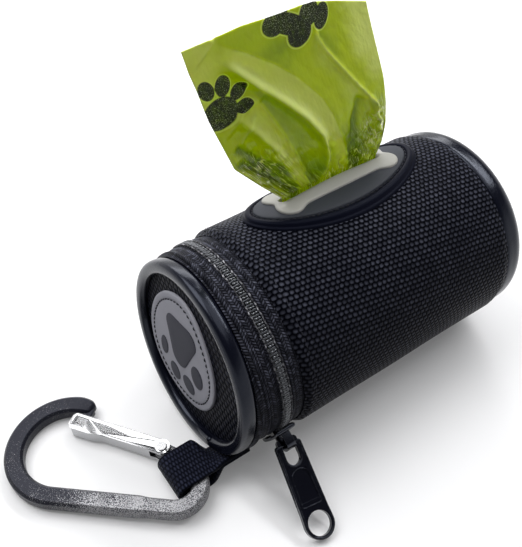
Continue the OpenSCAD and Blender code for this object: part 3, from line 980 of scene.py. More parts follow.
@dataclass(frozen=True)
class Film(Finish):
    """Thin tinted film in several layers, with prints and sharp crinkles where it is crushed, and with
    painted shade, painted light and painted glints.

    Attributes:
        lit: Colour where one layer lets the light through, also painted as highlight along the crushed
            crinkles.
        ink: Colour of the prints.
        fleck: Colour of the gaps in a print and of its outline.
        shine: Colour of the glints painted on sharp crinkles.
    """

    source: Source = Source.UV
    lit: Colour = (0.5, 0.6, 0.1)
    ink: Colour = (0.004, 0.004, 0.006)
    fleck: Colour = (0.5, 0.5, 0.5)
    shine: Colour = (0.95, 1, 0.5)

    def printed(self, graph: Canvas, slow: Socket) -> Socket:
        """Works out the film's colour, deeper where it lies in layers and where shade is painted along its
        folds, lighter where light is painted, with its prints on it.

        Args:
            graph: The material's graph.
            slow: The film's slow change of tone.

        Returns:
            The colour.
        """
        layers, ink = graph.kept("layers"), graph.kept("ink")
        depth = graph.plus(layers, graph.times(graph.less(slow, 0.5), 0.4))
        colour = graph.mix(graph.span(depth, 0.0, 0.5), self.lit, self.colour)
        colour = graph.mix(graph.span(depth, 0.5, 1.0), colour, self.deep)
        rim = graph.times(graph.span(ink, 0.4, 0.44), graph.less(1.0, graph.span(ink, 0.46, 0.5)))
        colour = graph.mix(graph.times(rim, 0.6), colour, self.lit)
        dots = graph.lay(Effect.SPECKLE, Fineness=3.4, Amount=0.62)
        black = graph.mix(graph.times(dots.outputs["Mask"], 0.8), self.ink, self.fleck)
        return graph.mix(graph.span(ink, 0.47, 0.51), colour, black)

    def surface(self, graph: Canvas) -> Skin:
        """Works out the printed film with its crinkles, and painted light and painted glints along them.

        Args:
            graph: The material's graph.

        Returns:
            The surface.
        """
        crush = graph.kept("crush")
        slow = graph.lay(Effect.MOTTLE, Size=9.0).outputs["Tone"]
        colour = self.printed(graph, slow)
        warp = graph.noise(graph.spot, 0.3, 2, 0.5).outputs["Color"]
        bent = graph.node("ShaderNodeVectorMath", graph.spot, warp, operation="ADD").outputs[0]
        folds = graph.node("ShaderNodeTexVoronoi", feature="DISTANCE_TO_EDGE")
        graph.fill(folds, Vector=graph.stretched(bent, (2.3, 0.5, 1)), Scale=0.3)
        gap = folds.outputs["Distance"]
        # Painted highlight: the film's lit colour along the edges of the crushed crinkles.
        bright = graph.times(graph.span(gap, 0.0, 0.06, 1, 0), graph.clip(crush))
        colour = graph.mix(graph.times(bright, 0.5), colour, self.lit)
        # Painted glints: pale yellow specks along the crushed crinkles.
        glint = graph.times(graph.span(gap, 0.02, 0.09, 1, 0), graph.span(crush, 0.3, 0.7))
        glint = graph.times(glint, graph.span(graph.cloud(graph.spot, 0.55, 2), 0.5, 0.58))
        colour = graph.mix(graph.times(glint, 0.9), colour, self.shine)
        soft = graph.times(graph.cloud(graph.spot, 0.35, 2), 0.16)
        height = graph.plus(graph.times(gap, crush), soft)
        rough = graph.plus(graph.times(slow, self.uneven), self.roughness)
        return Skin(colour, rough, height, self.grain_depth)

    def extras(self, graph: Graph, shader: Node) -> None:
        """Lets light through the film, so that it glows with the lamp behind it."""
        shine = graph.plus(graph.times(graph.less(1.0, graph.kept("ink")), 0.22), graph.kept("crush"))
        graph.fill(
            shader, Coat_Roughness=0.05, Subsurface_Weight=0.4, Subsurface_Scale=0.001,
            Subsurface_Radius=(0.8, 1.0, 0.25), Coat_Weight=graph.clip(shine),
        )


class Cloths(Enum):
    """Every finish of the dispenser."""

    SLEEVE = Woven("woven nylon", (0.13, 0.138, 0.185), PAINTED_GAP_SHADE, 0.5, specular=0.02)
    # A darker copy of the sleeve's nylon: painted shade for the panels sunk inside the piping of the lid and
    # the end, also used on the hinge.
    LID = Woven(
        "woven nylon in painted shade", (0.05, 0.054, 0.08), PAINTED_GAP_SHADE, 0.5, specular=0.02, pitch=1.9,
    )
    LINING = Woven(
        "lining cloth", (0.035, 0.036, 0.042), (0.01, 0.01, 0.012), 0.75, specular=0.1,
        pitch=0.8, relief=0.08, knot_gloss=0.05,
    )
    WEBBING = Ribbed(
        "webbing", (0.03, 0.034, 0.06), (0.0004, 0.0006, 0.0028), 0.5, specular=0.04,
        rib=1.5, thread=0.92, slant=0.0, relief=0.42, fleck=0.35,
    )
    TAPE = Ribbed(
        "zip tape", (0.115, 0.121, 0.162), (0.0003, 0.0004, 0.002), 0.45, specular=0.04,
        rib=1.05, thread=0.86, slant=0.8, relief=0.42, fleck=0.9,
    )
    COIL_THREAD = Ribbed(
        "thread over the coil", (0.62, 0.62, 0.67), (0.001, 0.001, 0.003), 0.4, specular=0.1,
        rib=1.0, thread=1.3, slant=0.0, relief=0.02, fleck=1.0,
    )
    PIPING = Finish(
        "vinyl piping", (0.004, 0.0046, 0.01), (0.0025, 0.003, 0.007), 0.22, specular=0.3, tint=COOL,
        grain=1.2, grain_depth=0.03,
    )
    RUBBER_BLACK = Finish(
        "black rubber", (0.004, 0.0046, 0.011), (0.0025, 0.003, 0.008), 0.42, specular=0.05,
        tint=(0.7, 0.78, 1), grain=4, grain_depth=0.012,
    )
    RUBBER_SLATE = Finish(
        "slate rubber", (0.034, 0.038, 0.048), (0.026, 0.029, 0.038), 0.6, specular=0.2, grain=4,
    )
    RUBBER_GREY = Finish(
        "grey rubber", (0.4, 0.395, 0.365), (0.35, 0.345, 0.32), 0.55, specular=0.25, grain=4,
    )
    COIL = Finish(
        "nylon coil", (0.006, 0.0065, 0.011), (0.003, 0.0035, 0.006), 0.1, coat=0.7, specular=0.45,
        tint=(0.8, 0.88, 1), grain=6, grain_depth=0.01,
    )
    THREAD = Finish(
        "sewing thread", (0.03, 0.031, 0.042), (0.004, 0.004, 0.007), 0.5, specular=0.15,
        grain=9, grain_depth=0.05,
    )
    ENAMEL = Finish(
        "black enamel", (0.0035, 0.0035, 0.007), (0.002, 0.002, 0.005), 0.12, tint=COOL,
        grain=2, grain_depth=0.008,
    )
    PATCH = Worn(
        "grey patch", (0.54, 0.54, 0.6), (0.38, 0.38, 0.43), 0.6, specular=0.15, grain=5, grain_depth=0.05,
        bare=(0.5, 0.5, 0.53), fineness=4.5, amount=0.6,
    )
    PAD = Finish(
        "dark print", (0.042, 0.043, 0.06), (0.03, 0.031, 0.045), 0.6, specular=0.15,
        grain=6, grain_depth=0.03,
    )
    ANODISED = Worn(
        "black anodised metal", (0.016, 0.017, 0.026), (0.01, 0.011, 0.018), 0.34, metallic=0.4,
        specular=0.25, grain=4.5, grain_depth=0.06, bare=(0.38, 0.38, 0.395), fineness=4.2, amount=0.88,
        sloped=True,
    )
    STEEL = Finish(
        "polished metal", (0.5, 0.503, 0.515), (0.4, 0.403, 0.412), 0.26, metallic=1,
        grain=1, grain_depth=0.01,
    )
    BOARD = Finish("pressed board", (0.55, 0.53, 0.48), (0.45, 0.43, 0.39), 0.8, grain=2, grain_depth=0.05)
    CARD = Finish("card", (0.42, 0.3, 0.17), (0.33, 0.23, 0.13), 0.85, grain=2, grain_depth=0.05)
    ROLL = Finish("rolled film", (0.24, 0.34, 0.02), (0.16, 0.24, 0.01), 0.35, grain=0.8, grain_depth=0.06)
    BAG = Film(
        "bag film", (0.46, 0.58, 0.0003), (0.12, 0.17, 0.0002), 0.15, specular=0.05,
        grain_depth=1.2, lit=(0.78, 0.95, 0.24),
    )


class Wardrobe:
    """Makes each finish's material at its first use."""

    def __init__(self) -> None:
        """Starts with no material made."""
        self.effects = Effects()
        self.made: dict[Cloths, Material] = {}

    def get(self, finish: Cloths) -> Material:
        """Gives a finish's material."""
        if finish not in self.made:
            self.made[finish] = finish.value.material(self.effects)
        return self.made[finish]


# ---------- the tube that everything sits on ----------


@dataclass(frozen=True)
class Tube:
    """The pouch's round body, and how points are placed round it."""

    radius: float = 30
    axis: float = 29.394
    mouth: float = -37
    end: float = 37
    zip_line: float = -42.5
    tape_radius: float = 28.494

    def at(self, x: Rows, radius: Rows, degrees: Rows) -> Rows:
        """Gives the points at a place along the tube, a radius and an angle round it."""
        turn = np.radians(degrees)
        return points(x, radius * np.cos(turn), self.axis + radius * np.sin(turn))

    def wrap(self, degrees: float, flat: Rows, radius: Rows) -> Rows:
        """Presses a flat outline on to the tube at an angle.

        Args:
            degrees: Where the outline's middle lies round the tube.
            flat: Rows of distance along the tube and across it.
            radius: Radius of the surface that it is pressed on to.

        Returns:
            The rows as points.
        """
        turn = radians(degrees)
        high = np.sqrt(np.maximum(radius**2 - flat[:, 1] ** 2, 0))
        y = flat[:, 1] * sin(turn) + high * cos(turn)
        z = self.axis - flat[:, 1] * cos(turn) + high * sin(turn)
        return points(flat[:, 0], y, z)

    def frame(self, degrees: float) -> Matrix:
        """Gives the frame at an angle round the tube, Z outwards and X along the tube."""
        return laid(0, 0, self.axis) @ turned(degrees - 90, "X")


TUBE = Tube()


def spun(name: str, profile: Rows, frame: Matrix, steps: int) -> Piece:
    """Draws a closed profile and spins it round the X axis of a frame.

    Args:
        name: The piece's name.
        profile: Rows of radius and distance along X, the last one on the first.
        frame: The frame, in mm.
        steps: Faces round the ring.

    Returns:
        The ring.
    """
    Bench.clear()
    bpy.ops.mesh.primitive_circle_add(vertices=len(profile) - 1, radius=1)
    piece = Bench.named(name)
    for vertex, (radius, x) in zip(piece.data.vertices, profile):
        vertex.co = (x, 0, radius)
    with Bench.editing("SELECT"):
        bpy.ops.mesh.spin(steps=steps, angle=tau, center=(0, 0, 0), axis=(1, 0, 0))
    piece.data.transform(METRES @ frame)
    return Bench.weld(piece)


def thread_stitch(length: float, radius: float) -> Piece:
    """Models one stitch: a short thread that dips into the cloth at both ends, along X."""

    def place(u: Rows, v: Rows) -> Rows:
        """Gives the points of a plump thread."""
        turn = u * tau
        share = np.sin(v * pi)
        thick = radius * np.sqrt(share) * (v > 0) * (v < 1)
        return points((v - 0.5) * length, thick * np.cos(turn), thick * np.sin(turn) + radius * (share - 0.6))

    return Bench.spread("stitch", 7, 6, place)


def stitches(name: str, line: Rows, outwards: Rows, length: float, radius: float) -> Piece:
    """Sews a row of stitches along a line of points.

    Args:
        name: The row's name.
        line: Where each stitch's middle lies, and one more row at the end.
        outwards: The direction out of the cloth at each row.
        length: Length of a stitch in mm.
        radius: Radius of the thread in mm.

    Returns:
        The row of stitches.
    """
    places = []
    for k in range(len(line) - 1):
        run = Vector(line[k + 1] - line[k]).normalized()
        up = Vector(outwards[k])
        side = up.cross(run).normalized()
        up = run.cross(side)
        turn = Matrix((run, side, up)).transposed().to_4x4()
        places.append(Matrix.Translation(Vector(line[k]) * MM) @ turn)
    return Bench.smooth(Bench.repeat(name, thread_stitch(length, radius), places), 80)


def planar_map(piece: Piece, first: Vector, second: Vector) -> Piece:
    """Lays a piece's UV map flat, in mm along two directions."""
    cloth = piece.data.uv_layers.active or piece.data.uv_layers.new(name="UVMap")
    for loop in piece.data.loops:
        spot = piece.data.vertices[loop.vertex_index].co / MM
        cloth.data[loop.index].uv = (spot.dot(first), spot.dot(second))
    return piece


# ---------- sub-assemblies ----------


@dataclass
class Assembly:
    """A sub-assembly: it builds its pieces and dresses them from the wardrobe."""

    wardrobe: Wardrobe

    def dress(self, piece: Piece, cloth: Cloths, slot: str, *nodes: str) -> Piece:
        """Gives a finished piece its finish and hides the CAD nodes that it stands for.

        Args:
            piece: The finished piece.
            cloth: Its finish.
            slot: The record's material slot, not used.
            *nodes: The CAD nodes that it replaces.

        Returns:
            The same piece.
        """
        piece.data.materials.clear()
        piece.data.materials.append(self.wardrobe.get(cloth))
        if nodes:
            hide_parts(*nodes)
        LOG.info("%s: %d faces", piece.name, len(piece.data.polygons))
        return piece

    def ride(self, piece: Piece, body: str, cloth: Cloths, slot: str, *nodes: str) -> Piece:
        """Dresses a finished piece and ties it to the body that it moves with."""
        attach(self.dress(piece, cloth, slot, *nodes), body)
        return piece

    def dress_node(self, node: str, cloth: Cloths) -> None:
        """Gives a CAD node that stays in sight its finish."""
        for holder in bpy.data.objects[node].material_slots:
            holder.material = self.wardrobe.get(cloth)
        LOG.info("%s: CAD node in %s", node, cloth.value.name)

    def disc(self, name: str, radius: float, crown: float, thickness: float, frame: Matrix) -> Piece:
        """Cuts a round cloth, crowned in its middle, facing +X of a frame.

        Args:
            name: The piece's name.
            radius: Of the cloth.
            crown: How far its middle stands out.
            thickness: Of the cloth.
            frame: Where it lies, in mm.

        Returns:
            The cloth.
        """

        def place(u: Rows, v: Rows) -> Rows:
            """Gives the points of the disc in the frame."""
            turn = u * tau
            spots = points(crown * (1 - v**2), radius * v * np.cos(turn), radius * v * np.sin(turn))
            return moved(spots, frame)

        piece = Bench.spread(name, 97, 25, place)
        planar_map(piece, frame.to_3x3() @ Vector((0, 1, 0)), frame.to_3x3() @ Vector((0, 0, 1)))
        return Bench.smooth(Bench.thicken(piece, thickness))


@dataclass
class Pouch(Assembly):
    """The round body: woven sleeve over foam and lining, with a piped end."""

    wall: float = 0.8
    lining_radius: float = 26.6
    end_face: float = 44.5
    rim_radius: float = 29.19
    rim_height: float = 4.7
    rim_width: float = 7.5
    window: Pair = (19.5, 5.6)
    port_angle: float = 70.5
    hem_width: float = 3.1
    cloth_depth: float = 2.3
    lining_depth: float = 4.35

    def build(self) -> None:
        """Builds and dresses every piece of the body."""
        self.sleeve()
        self.hem()
        self.inner_wall()
        self.rim()
        self.end_cloth()
        self.dress_node("end_board", Cloths.BOARD)

    def skin(self, name: str, radius: float, rows: int, columns: int, shape: Place, ends: Pair) -> Piece:
        """Rolls a cloth into a tube, presses it flat where it rests and cuts the port's window.

        Args:
            name: The piece's name.
            radius: Radius of the tube.
            rows: Points round it.
            columns: Points along it.
            shape: Gives how far each point stands in or out, for x and angle.
            ends: Where it starts and stops along X.

        Returns:
            The open skin.
        """

        def place(u: Rows, v: Rows) -> Rows:
            """Gives the points of the tube."""
            x = ends[0] + (ends[1] - ends[0]) * u
            degrees = 270 + 360 * v
            spots = TUBE.at(x, radius + shape(x, degrees), degrees)
            spots[:, 2] = np.maximum(spots[:, 2], TUBE.radius - radius + 0.02)
            return spots

        piece = Bench.spread(name, columns, rows, place, (ends[1] - ends[0], tau * radius))
        turn = radians(self.port_angle)
        Bench.pick_none(piece)
        for face in piece.data.polygons:
            spot = face.center / MM - Vector((0, 0, TUBE.axis))
            across = spot.y * sin(turn) - spot.z * cos(turn)
            above = spot.y * cos(turn) + spot.z * sin(turn) > 0
            inside = (spot.x / self.window[0]) ** 2 + (across / self.window[1]) ** 2 < 1
            face.select = above and inside
        with Bench.editing():
            bpy.ops.mesh.delete(type="FACE")
            bpy.ops.mesh.select_mode(type="VERT")
        return piece

    def sleeve(self) -> None:
        """Rolls the woven sleeve, with its hem turned down at the zip and drawn in at the rim."""

        def shape(x: Rows, degrees: Rows) -> Rows:
            """Turns the edges in and lets the cloth swell a little over the foam."""
            turn = np.radians(degrees)
            hem = -1.15 * ease(1 - (x - TUBE.mouth) / 1.7) - 0.13 * hump(x, TUBE.mouth + self.hem_width, 0.55)
            drawn = -0.65 * ease(1 - (TUBE.end - x) / 2.2)
            swell = 0.12 * np.sin(3 * turn + x * 0.05) * np.sin(x * 0.11 + 1.3 * np.sin(turn))
            return hem + drawn + swell - 0.13

        piece = self.skin("sleeve_cloth", TUBE.radius, 301, 131, shape, (TUBE.mouth, TUBE.end))
        Bench.thicken(piece, self.wall)
        self.ride(Bench.smooth(piece), "pouch", Cloths.SLEEVE, "woven_nylon", "sleeve")

    def hem(self) -> None:
        """Sews the row of stitches that holds the sleeve's hem at the zip."""
        degrees = np.linspace(-86, 224, 92)
        line = TUBE.at(TUBE.mouth + self.hem_width, TUBE.radius - 0.24, degrees)
        outwards = TUBE.at(0.0, 1.0, degrees) - np.array([0, 0, TUBE.axis])
        piece = stitches("sleeve_stitches", line, outwards, 1.35, 0.17)
        self.ride(piece, "pouch", Cloths.THREAD, "woven_nylon")

    def inner_wall(self) -> None:
        """Rolls the lined foam wall behind the sleeve, with its edge bound at the mouth."""

        def shape(x: Rows, degrees: Rows) -> Rows:
            """Lets the lining sink between its lines of sewing."""
            turn = np.radians(degrees)
            return 0.1 * np.sin(8 * turn) * np.sin((x + 37) * 0.17) + 0.5 * ease(1 - (x - TUBE.mouth) / 1.2)

        ends = (TUBE.mouth + 0.1, TUBE.end - 0.1)
        piece = self.skin("lining_cloth", self.lining_radius, 181, 75, shape, ends)
        Bench.thicken(piece, TUBE.radius - self.wall - 0.1 - self.lining_radius, 1)
        Bench.round_edges(piece, 0.5, 2, 50)
        self.ride(Bench.smooth(piece), "pouch", Cloths.LINING, "lining", "foam_wall", "lining_tube")

    def rim(self) -> None:
        """Spins the broad vinyl rim at the closed end."""
        inner = self.rim_radius - self.rim_height
        corner, lip, width = 4.2, 0.8, self.rim_width
        radius = self.rim_radius
        profile = [(radius - 0.55, width - 0.02), (radius - 0.1, width - 0.5), (radius, width - 1.4)]
        profile += arc((radius - corner, corner), corner, 0, -90, 12)
        profile += arc((inner + lip, lip), lip, -90, -180, 5)
        profile += [(inner, width - 0.02)]
        line = evened(np.array(profile + profile[:1]), 61)
        line[:, 1] = self.end_face - line[:, 1]
        piece = spun("end_rim", line, laid(0, 0, TUBE.axis), 160)
        self.ride(Bench.smooth(piece), "pouch", Cloths.PIPING, "vinyl_piping", "end_piping")

    def end_cloth(self) -> None:
        """Cuts the woven disc of the closed end and the lining behind it."""
        inner = self.rim_radius - self.rim_height - 0.05
        piece = self.disc("end_cloth", inner, 0.5, 0.78, laid(self.end_face - self.cloth_depth, 0, TUBE.axis))
        self.ride(piece, "pouch", Cloths.LID, "woven_nylon", "end_panel")
        back = laid(self.end_face - self.lining_depth, 0, TUBE.axis) @ turned(180, "Z")
        piece = self.disc("end_lining_cloth", inner, 0.2, 0.4, back)
        self.ride(piece, "pouch", Cloths.LINING, "lining", "end_lining")


@dataclass
class Port(Assembly):
    """The oval rubber port with its bone-shaped slot."""

    angle: float = 70.5
    half: Pair = (28.5, 15)
    bone: Pair = (20.5, 5.9)
    lobe: float = 4.2
    lobe_off: float = 3.5
    slot: Pair = (17.5, 1.3)
    seam: Pair = (2.95, 1.02)

    def build(self) -> None:
        """Builds and dresses the rim, the plate, the bone and the sewing between them."""
        self.rim_ring()
        self.sewing()
        self.plate()
        self.bone_frame()

    def oval(self, inset: float, count: int = 241) -> Rows:
        """Gives the port's oval outline, moved in by a distance, anticlockwise."""
        turn = np.linspace(0, tau, count)
        wide, tall = self.half[0] - inset, self.half[1] - inset
        return pairs(wide * np.cos(turn), tall * np.sin(turn))

    def slot_outline(self, inset: float, count: int = 241) -> Rows:
        """Gives the slot's outline, moved in by a distance."""
        reach = self.slot[0] - self.slot[1]
        turn = np.linspace(0, tau, count)
        x = np.clip(np.cos(turn) * 1.02, -1, 1) * self.slot[0]
        beyond = np.maximum(0, np.abs(x) - reach) ** 2 / self.slot[1] ** 2
        y = np.sign(np.sin(turn)) * (self.slot[1] - inset) * np.sqrt(np.maximum(0, 1 - beyond))
        line = pairs(x, y)
        line[-1] = line[0]
        return line

    def bone_outline(self, count: int = 241) -> Rows:
        """Gives the bone's outline with soft notches, anticlockwise from its right notch."""
        middle = self.bone[0] - self.lobe
        start = -math.degrees(math.asin(self.lobe_off / self.lobe))
        stop = 180 - math.degrees(math.asin((self.bone[1] - self.lobe_off) / self.lobe))
        right = arc((middle, self.lobe_off), self.lobe, start, stop, 24)
        left = [(-x, y) for x, y in reversed(right)]
        top = right + left
        bottom = [(x, -y) for x, y in reversed(top)]
        outline = top + bottom[1:-1]
        ring = evened(np.array(outline + outline[:1]), count)[:-1]
        for _ in range(14):
            ring = (np.roll(ring, 1, axis=0) + 2 * ring + np.roll(ring, -1, axis=0)) / 4
        return np.vstack([ring, ring[:1]])

    def lifted(self, outline: Rows, height: Rows) -> Rows:
        """Presses an outline on to the tube at a height over the sleeve."""
        return TUBE.wrap(self.angle, outline, TUBE.radius + height)

    def rim_ring(self) -> None:
        """Lofts the rim: a thin skirt on the cloth and a rounded bead inside it."""
        steps = [
            (0.0, -0.1), (0.0, 0.3), (0.08, 0.42), (0.3, 0.5), (0.55, 0.55), (0.66, 0.7), (0.72, 1.0),
            (0.86, 1.26), (1.15, 1.42), (1.5, 1.5), (1.95, 1.5), (2.3, 1.42), (2.52, 1.25), (2.6, 1.02),
            (2.68, 0.9), (3.2, 0.9), (3.2, -0.1), (0.0, -0.1),
        ]
        rings = [self.lifted(self.oval(inset), height) for inset, height in steps]
        piece = Bench.smooth(Bench.loft("port_ring", rings), 50)
        self.ride(piece, "pouch", Cloths.RUBBER_BLACK, "rubber_black", "port_rim")

    def sewing(self) -> None:
        """Sews the port down, with stitches sunk between the rim and the plate."""
        inset, height = self.seam
        flat = evened(self.oval(inset, 361), 72)
        line = self.lifted(flat, height)
        outwards = self.lifted(flat, height + 1) - line
        piece = stitches("port_stitches", line, outwards, 1.5, 0.2)
        self.ride(piece, "pouch", Cloths.THREAD, "rubber_black")

    def plate(self) -> None:
        """Lofts the slate plate from the rim to the slot."""
        edge = [(3.26, -0.1), (3.26, 1.15), (3.34, 1.34), (3.52, 1.46), (3.8, 1.5)]
        rings = [self.lifted(self.oval(inset), height) for inset, height in edge]
        outer, inner = self.oval(3.8), self.slot_outline(-0.8)
        for share in np.linspace(0.12, 1, 9):
            rings.append(self.lifted(outer * (1 - share) + inner * share, 1.5))
        rings.append(self.lifted(inner, -0.1))
        rings.append(rings[0])
        piece = Bench.smooth(Bench.loft("port_plate_skin", rings), 50)
        self.ride(piece, "pouch", Cloths.RUBBER_SLATE, "rubber_slate", "port_plate")

    def bone_frame(self) -> None:
        """Lofts the raised bone round the slot, swollen where the bag is drawn over it."""
        outline = self.bone_outline()
        inner = self.slot_outline(0)
        steps = [(0.05, 1.2), (0.0, 1.75), (0.07, 1.95), (0.25, 2.1), (0.55, 2.18)]
        rings = [self.lifted(shifted(outline, inset), height) for inset, height in steps]
        base = shifted(outline, 0.55)
        for share in np.linspace(0.15, 1, 8):
            flat = base * (1 - share) + inner * share
            swell = 0.75 * hump(flat[:, 0], 0, 13) * np.sin(share * pi * 0.62)
            lip = -0.35 * ease(np.array((share - 0.8) / 0.2))
            rings.append(self.lifted(flat, 2.18 + swell + lip))
        rings.append(self.lifted(inner, 0.6))
        rings.append(rings[0])
        piece = Bench.smooth(Bench.loft("port_bone_skin", rings), 55)
        self.ride(piece, "pouch", Cloths.RUBBER_GREY, "rubber_grey", "port_bone")


@dataclass
class Zip(Assembly):
    """Tapes, coils and the cloth hinge between lid and sleeve."""

    start: float = -88
    sweep: float = 312
    hinge: Pair = (224.3, 271.7)
    hinge_radius: float = 28.5
    hinge_length: float = 23.5
    coil_start: float = -85
    coil_end: float = 206
    pitch: float = 1.5
    wire: float = 0.6
    tooth: float = 2.7
    tape: float = 0.5
    parting: float = 0.9
    half: float = 4.6

    def build(self) -> None:
        """Builds and dresses both sides of the zip and the hinge."""
        length = TUBE.tape_radius * radians(self.sweep)
        sides = (
            ("body", "pouch", TUBE.zip_line + self.parting, TUBE.mouth - 0.03, 1, 0.0),
            ("lid", "lid", TUBE.zip_line - self.parting, TUBE.zip_line - self.half, -1, 0.5),
        )
        for word, body, inner, outer, side, shift in sides:
            self.ribbon(f"{word}_tape", body, inner, outer, length, f"{word}_zip_tape")
            self.coil(f"{word}_coil", body, side, shift, f"{word}_zip_coil")
            self.cover_thread(f"{word}_coil_thread", body, side)
        self.hinge_cloth()
        self.dress_node("zip_stops", Cloths.ENAMEL)

    def ribbon(self, name: str, body: str, inner: float, outer: float, length: float, node: str) -> None:
        """Weaves one side's tape, rising a little to its sewn edge.

        Args:
            name: The piece's name.
            body: The body that it rides on.
            inner: Its edge by the coil.
            outer: Its sewn edge.
            length: Its length round the tube.
            node: The CAD node that it stands for.
        """

        def place(u: Rows, v: Rows) -> Rows:
            """Gives the points of the ribbon, with soft ridges along it."""
            x = inner + (outer - inner) * u
            ridge = 0.22 * hump(u, 0.62, 0.09) + 0.12 * hump(u, 0.3, 0.06)
            return TUBE.at(x, TUBE.tape_radius + ridge, self.start + self.sweep * v)

        piece = Bench.spread(name, 19, 313, place, (abs(outer - inner), length))
        Bench.thicken(piece, self.tape)
        self.ride(Bench.smooth(piece, 60), body, Cloths.TAPE, "zip_tape", node)

    def tooth_model(self, side: int) -> Piece:
        """Models one turn of the coil: a bent wire with a flattened head, across the zip."""

        def place(u: Rows, v: Rows) -> Rows:
            """Gives the points of the wire from its head to its foot."""
            turn = u * tau
            head = hump(v, 0.17, 0.12)
            ends = np.sqrt(np.clip(np.minimum(v, 1 - v) / 0.1, 0, 1))
            radius = (self.wire / 2 + 0.06 * head) * ends
            x = side * (v - 0.5) * self.tooth
            sink = 0.28 * ease((v - 0.5) / 0.5) - 0.08 * head
            return points(x, 1.12 * radius * np.cos(turn), radius * np.sin(turn) - sink)

        return Bench.spread("tooth", 8, 11, place)

    def coil(self, name: str, body: str, side: int, shift: float, node: str) -> None:
        """Winds one side's coil from copies of one tooth.

        Args:
            name: The piece's name.
            body: The body that it rides on.
            side: 1 for the sleeve's side and -1 for the lid's.
            shift: Offset of its teeth as a share of the pitch.
            node: The CAD node that it stands for.
        """
        middle = TUBE.tape_radius + self.wire / 2 + 0.07
        step = math.degrees(self.pitch / middle)
        count = int((self.coil_end - self.coil_start) / step)
        shove = side * (self.tooth - 2.1) / 2
        places = []
        for k in range(count):
            turn = TUBE.frame(self.coil_start + (k + 0.5 + shift) * step)
            place = turn @ laid(TUBE.zip_line + shove, 0, middle)
            places.append(METRES @ place @ Matrix.Scale(1 / MM, 4))
        piece = Bench.repeat(name, self.tooth_model(side), places)
        self.ride(Bench.smooth(piece, 80), body, Cloths.COIL, "zip_coil", node)

    def cover_thread(self, name: str, body: str, side: int) -> None:
        """Lays the plaited thread that sews a coil to its tape."""
        middle = TUBE.tape_radius + self.wire + 0.02
        sweep = self.coil_end - self.coil_start
        turns = radians(sweep) * middle / self.pitch

        def place(u: Rows, v: Rows) -> Rows:
            """Gives the points of a thread that rises over each tooth."""
            turn = u * tau
            beat = np.cos(v * turns * tau)
            sway = 0.1 * np.cos(v * turns * pi)
            x = TUBE.zip_line + side * 1.3 + sway + (0.19 + 0.04 * beat) * np.cos(turn)
            return TUBE.at(x, middle - 0.05 + 0.05 * beat + 0.15 * np.sin(turn), self.coil_start + sweep * v)

        piece = Bench.spread(name, 8, 760, place, (1, radians(sweep) * middle))
        self.ride(Bench.smooth(piece, 80), body, Cloths.COIL_THREAD, "zip_coil")

    def hinge_cloth(self) -> None:
        """Folds the cloth hinge that joins lid and sleeve behind the zip."""
        low, high = TUBE.zip_line - self.half, TUBE.mouth - 0.05

        def place(u: Rows, v: Rows) -> Rows:
            """Gives the points of the hinge, bowed out in a soft fold."""
            x = low + (high - low) * u
            bow = 0.2 + 0.35 * np.sin(u * pi) - 0.25 * hump(u, 0.46, 0.07)
            return TUBE.at(x, TUBE.tape_radius + bow, self.hinge[0] + (self.hinge[1] - self.hinge[0]) * v)

        piece = Bench.spread("hinge_cloth", 33, 65, place, (high - low, self.hinge_length))
        Bench.thicken(piece, 0.7)
        self.dress(Bench.smooth(piece, 60), Cloths.LID, "woven_nylon", "fabric_hinge")
        middle = TUBE.at(0.0, self.hinge_radius, sum(self.hinge) / 2) * MM
        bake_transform(piece)


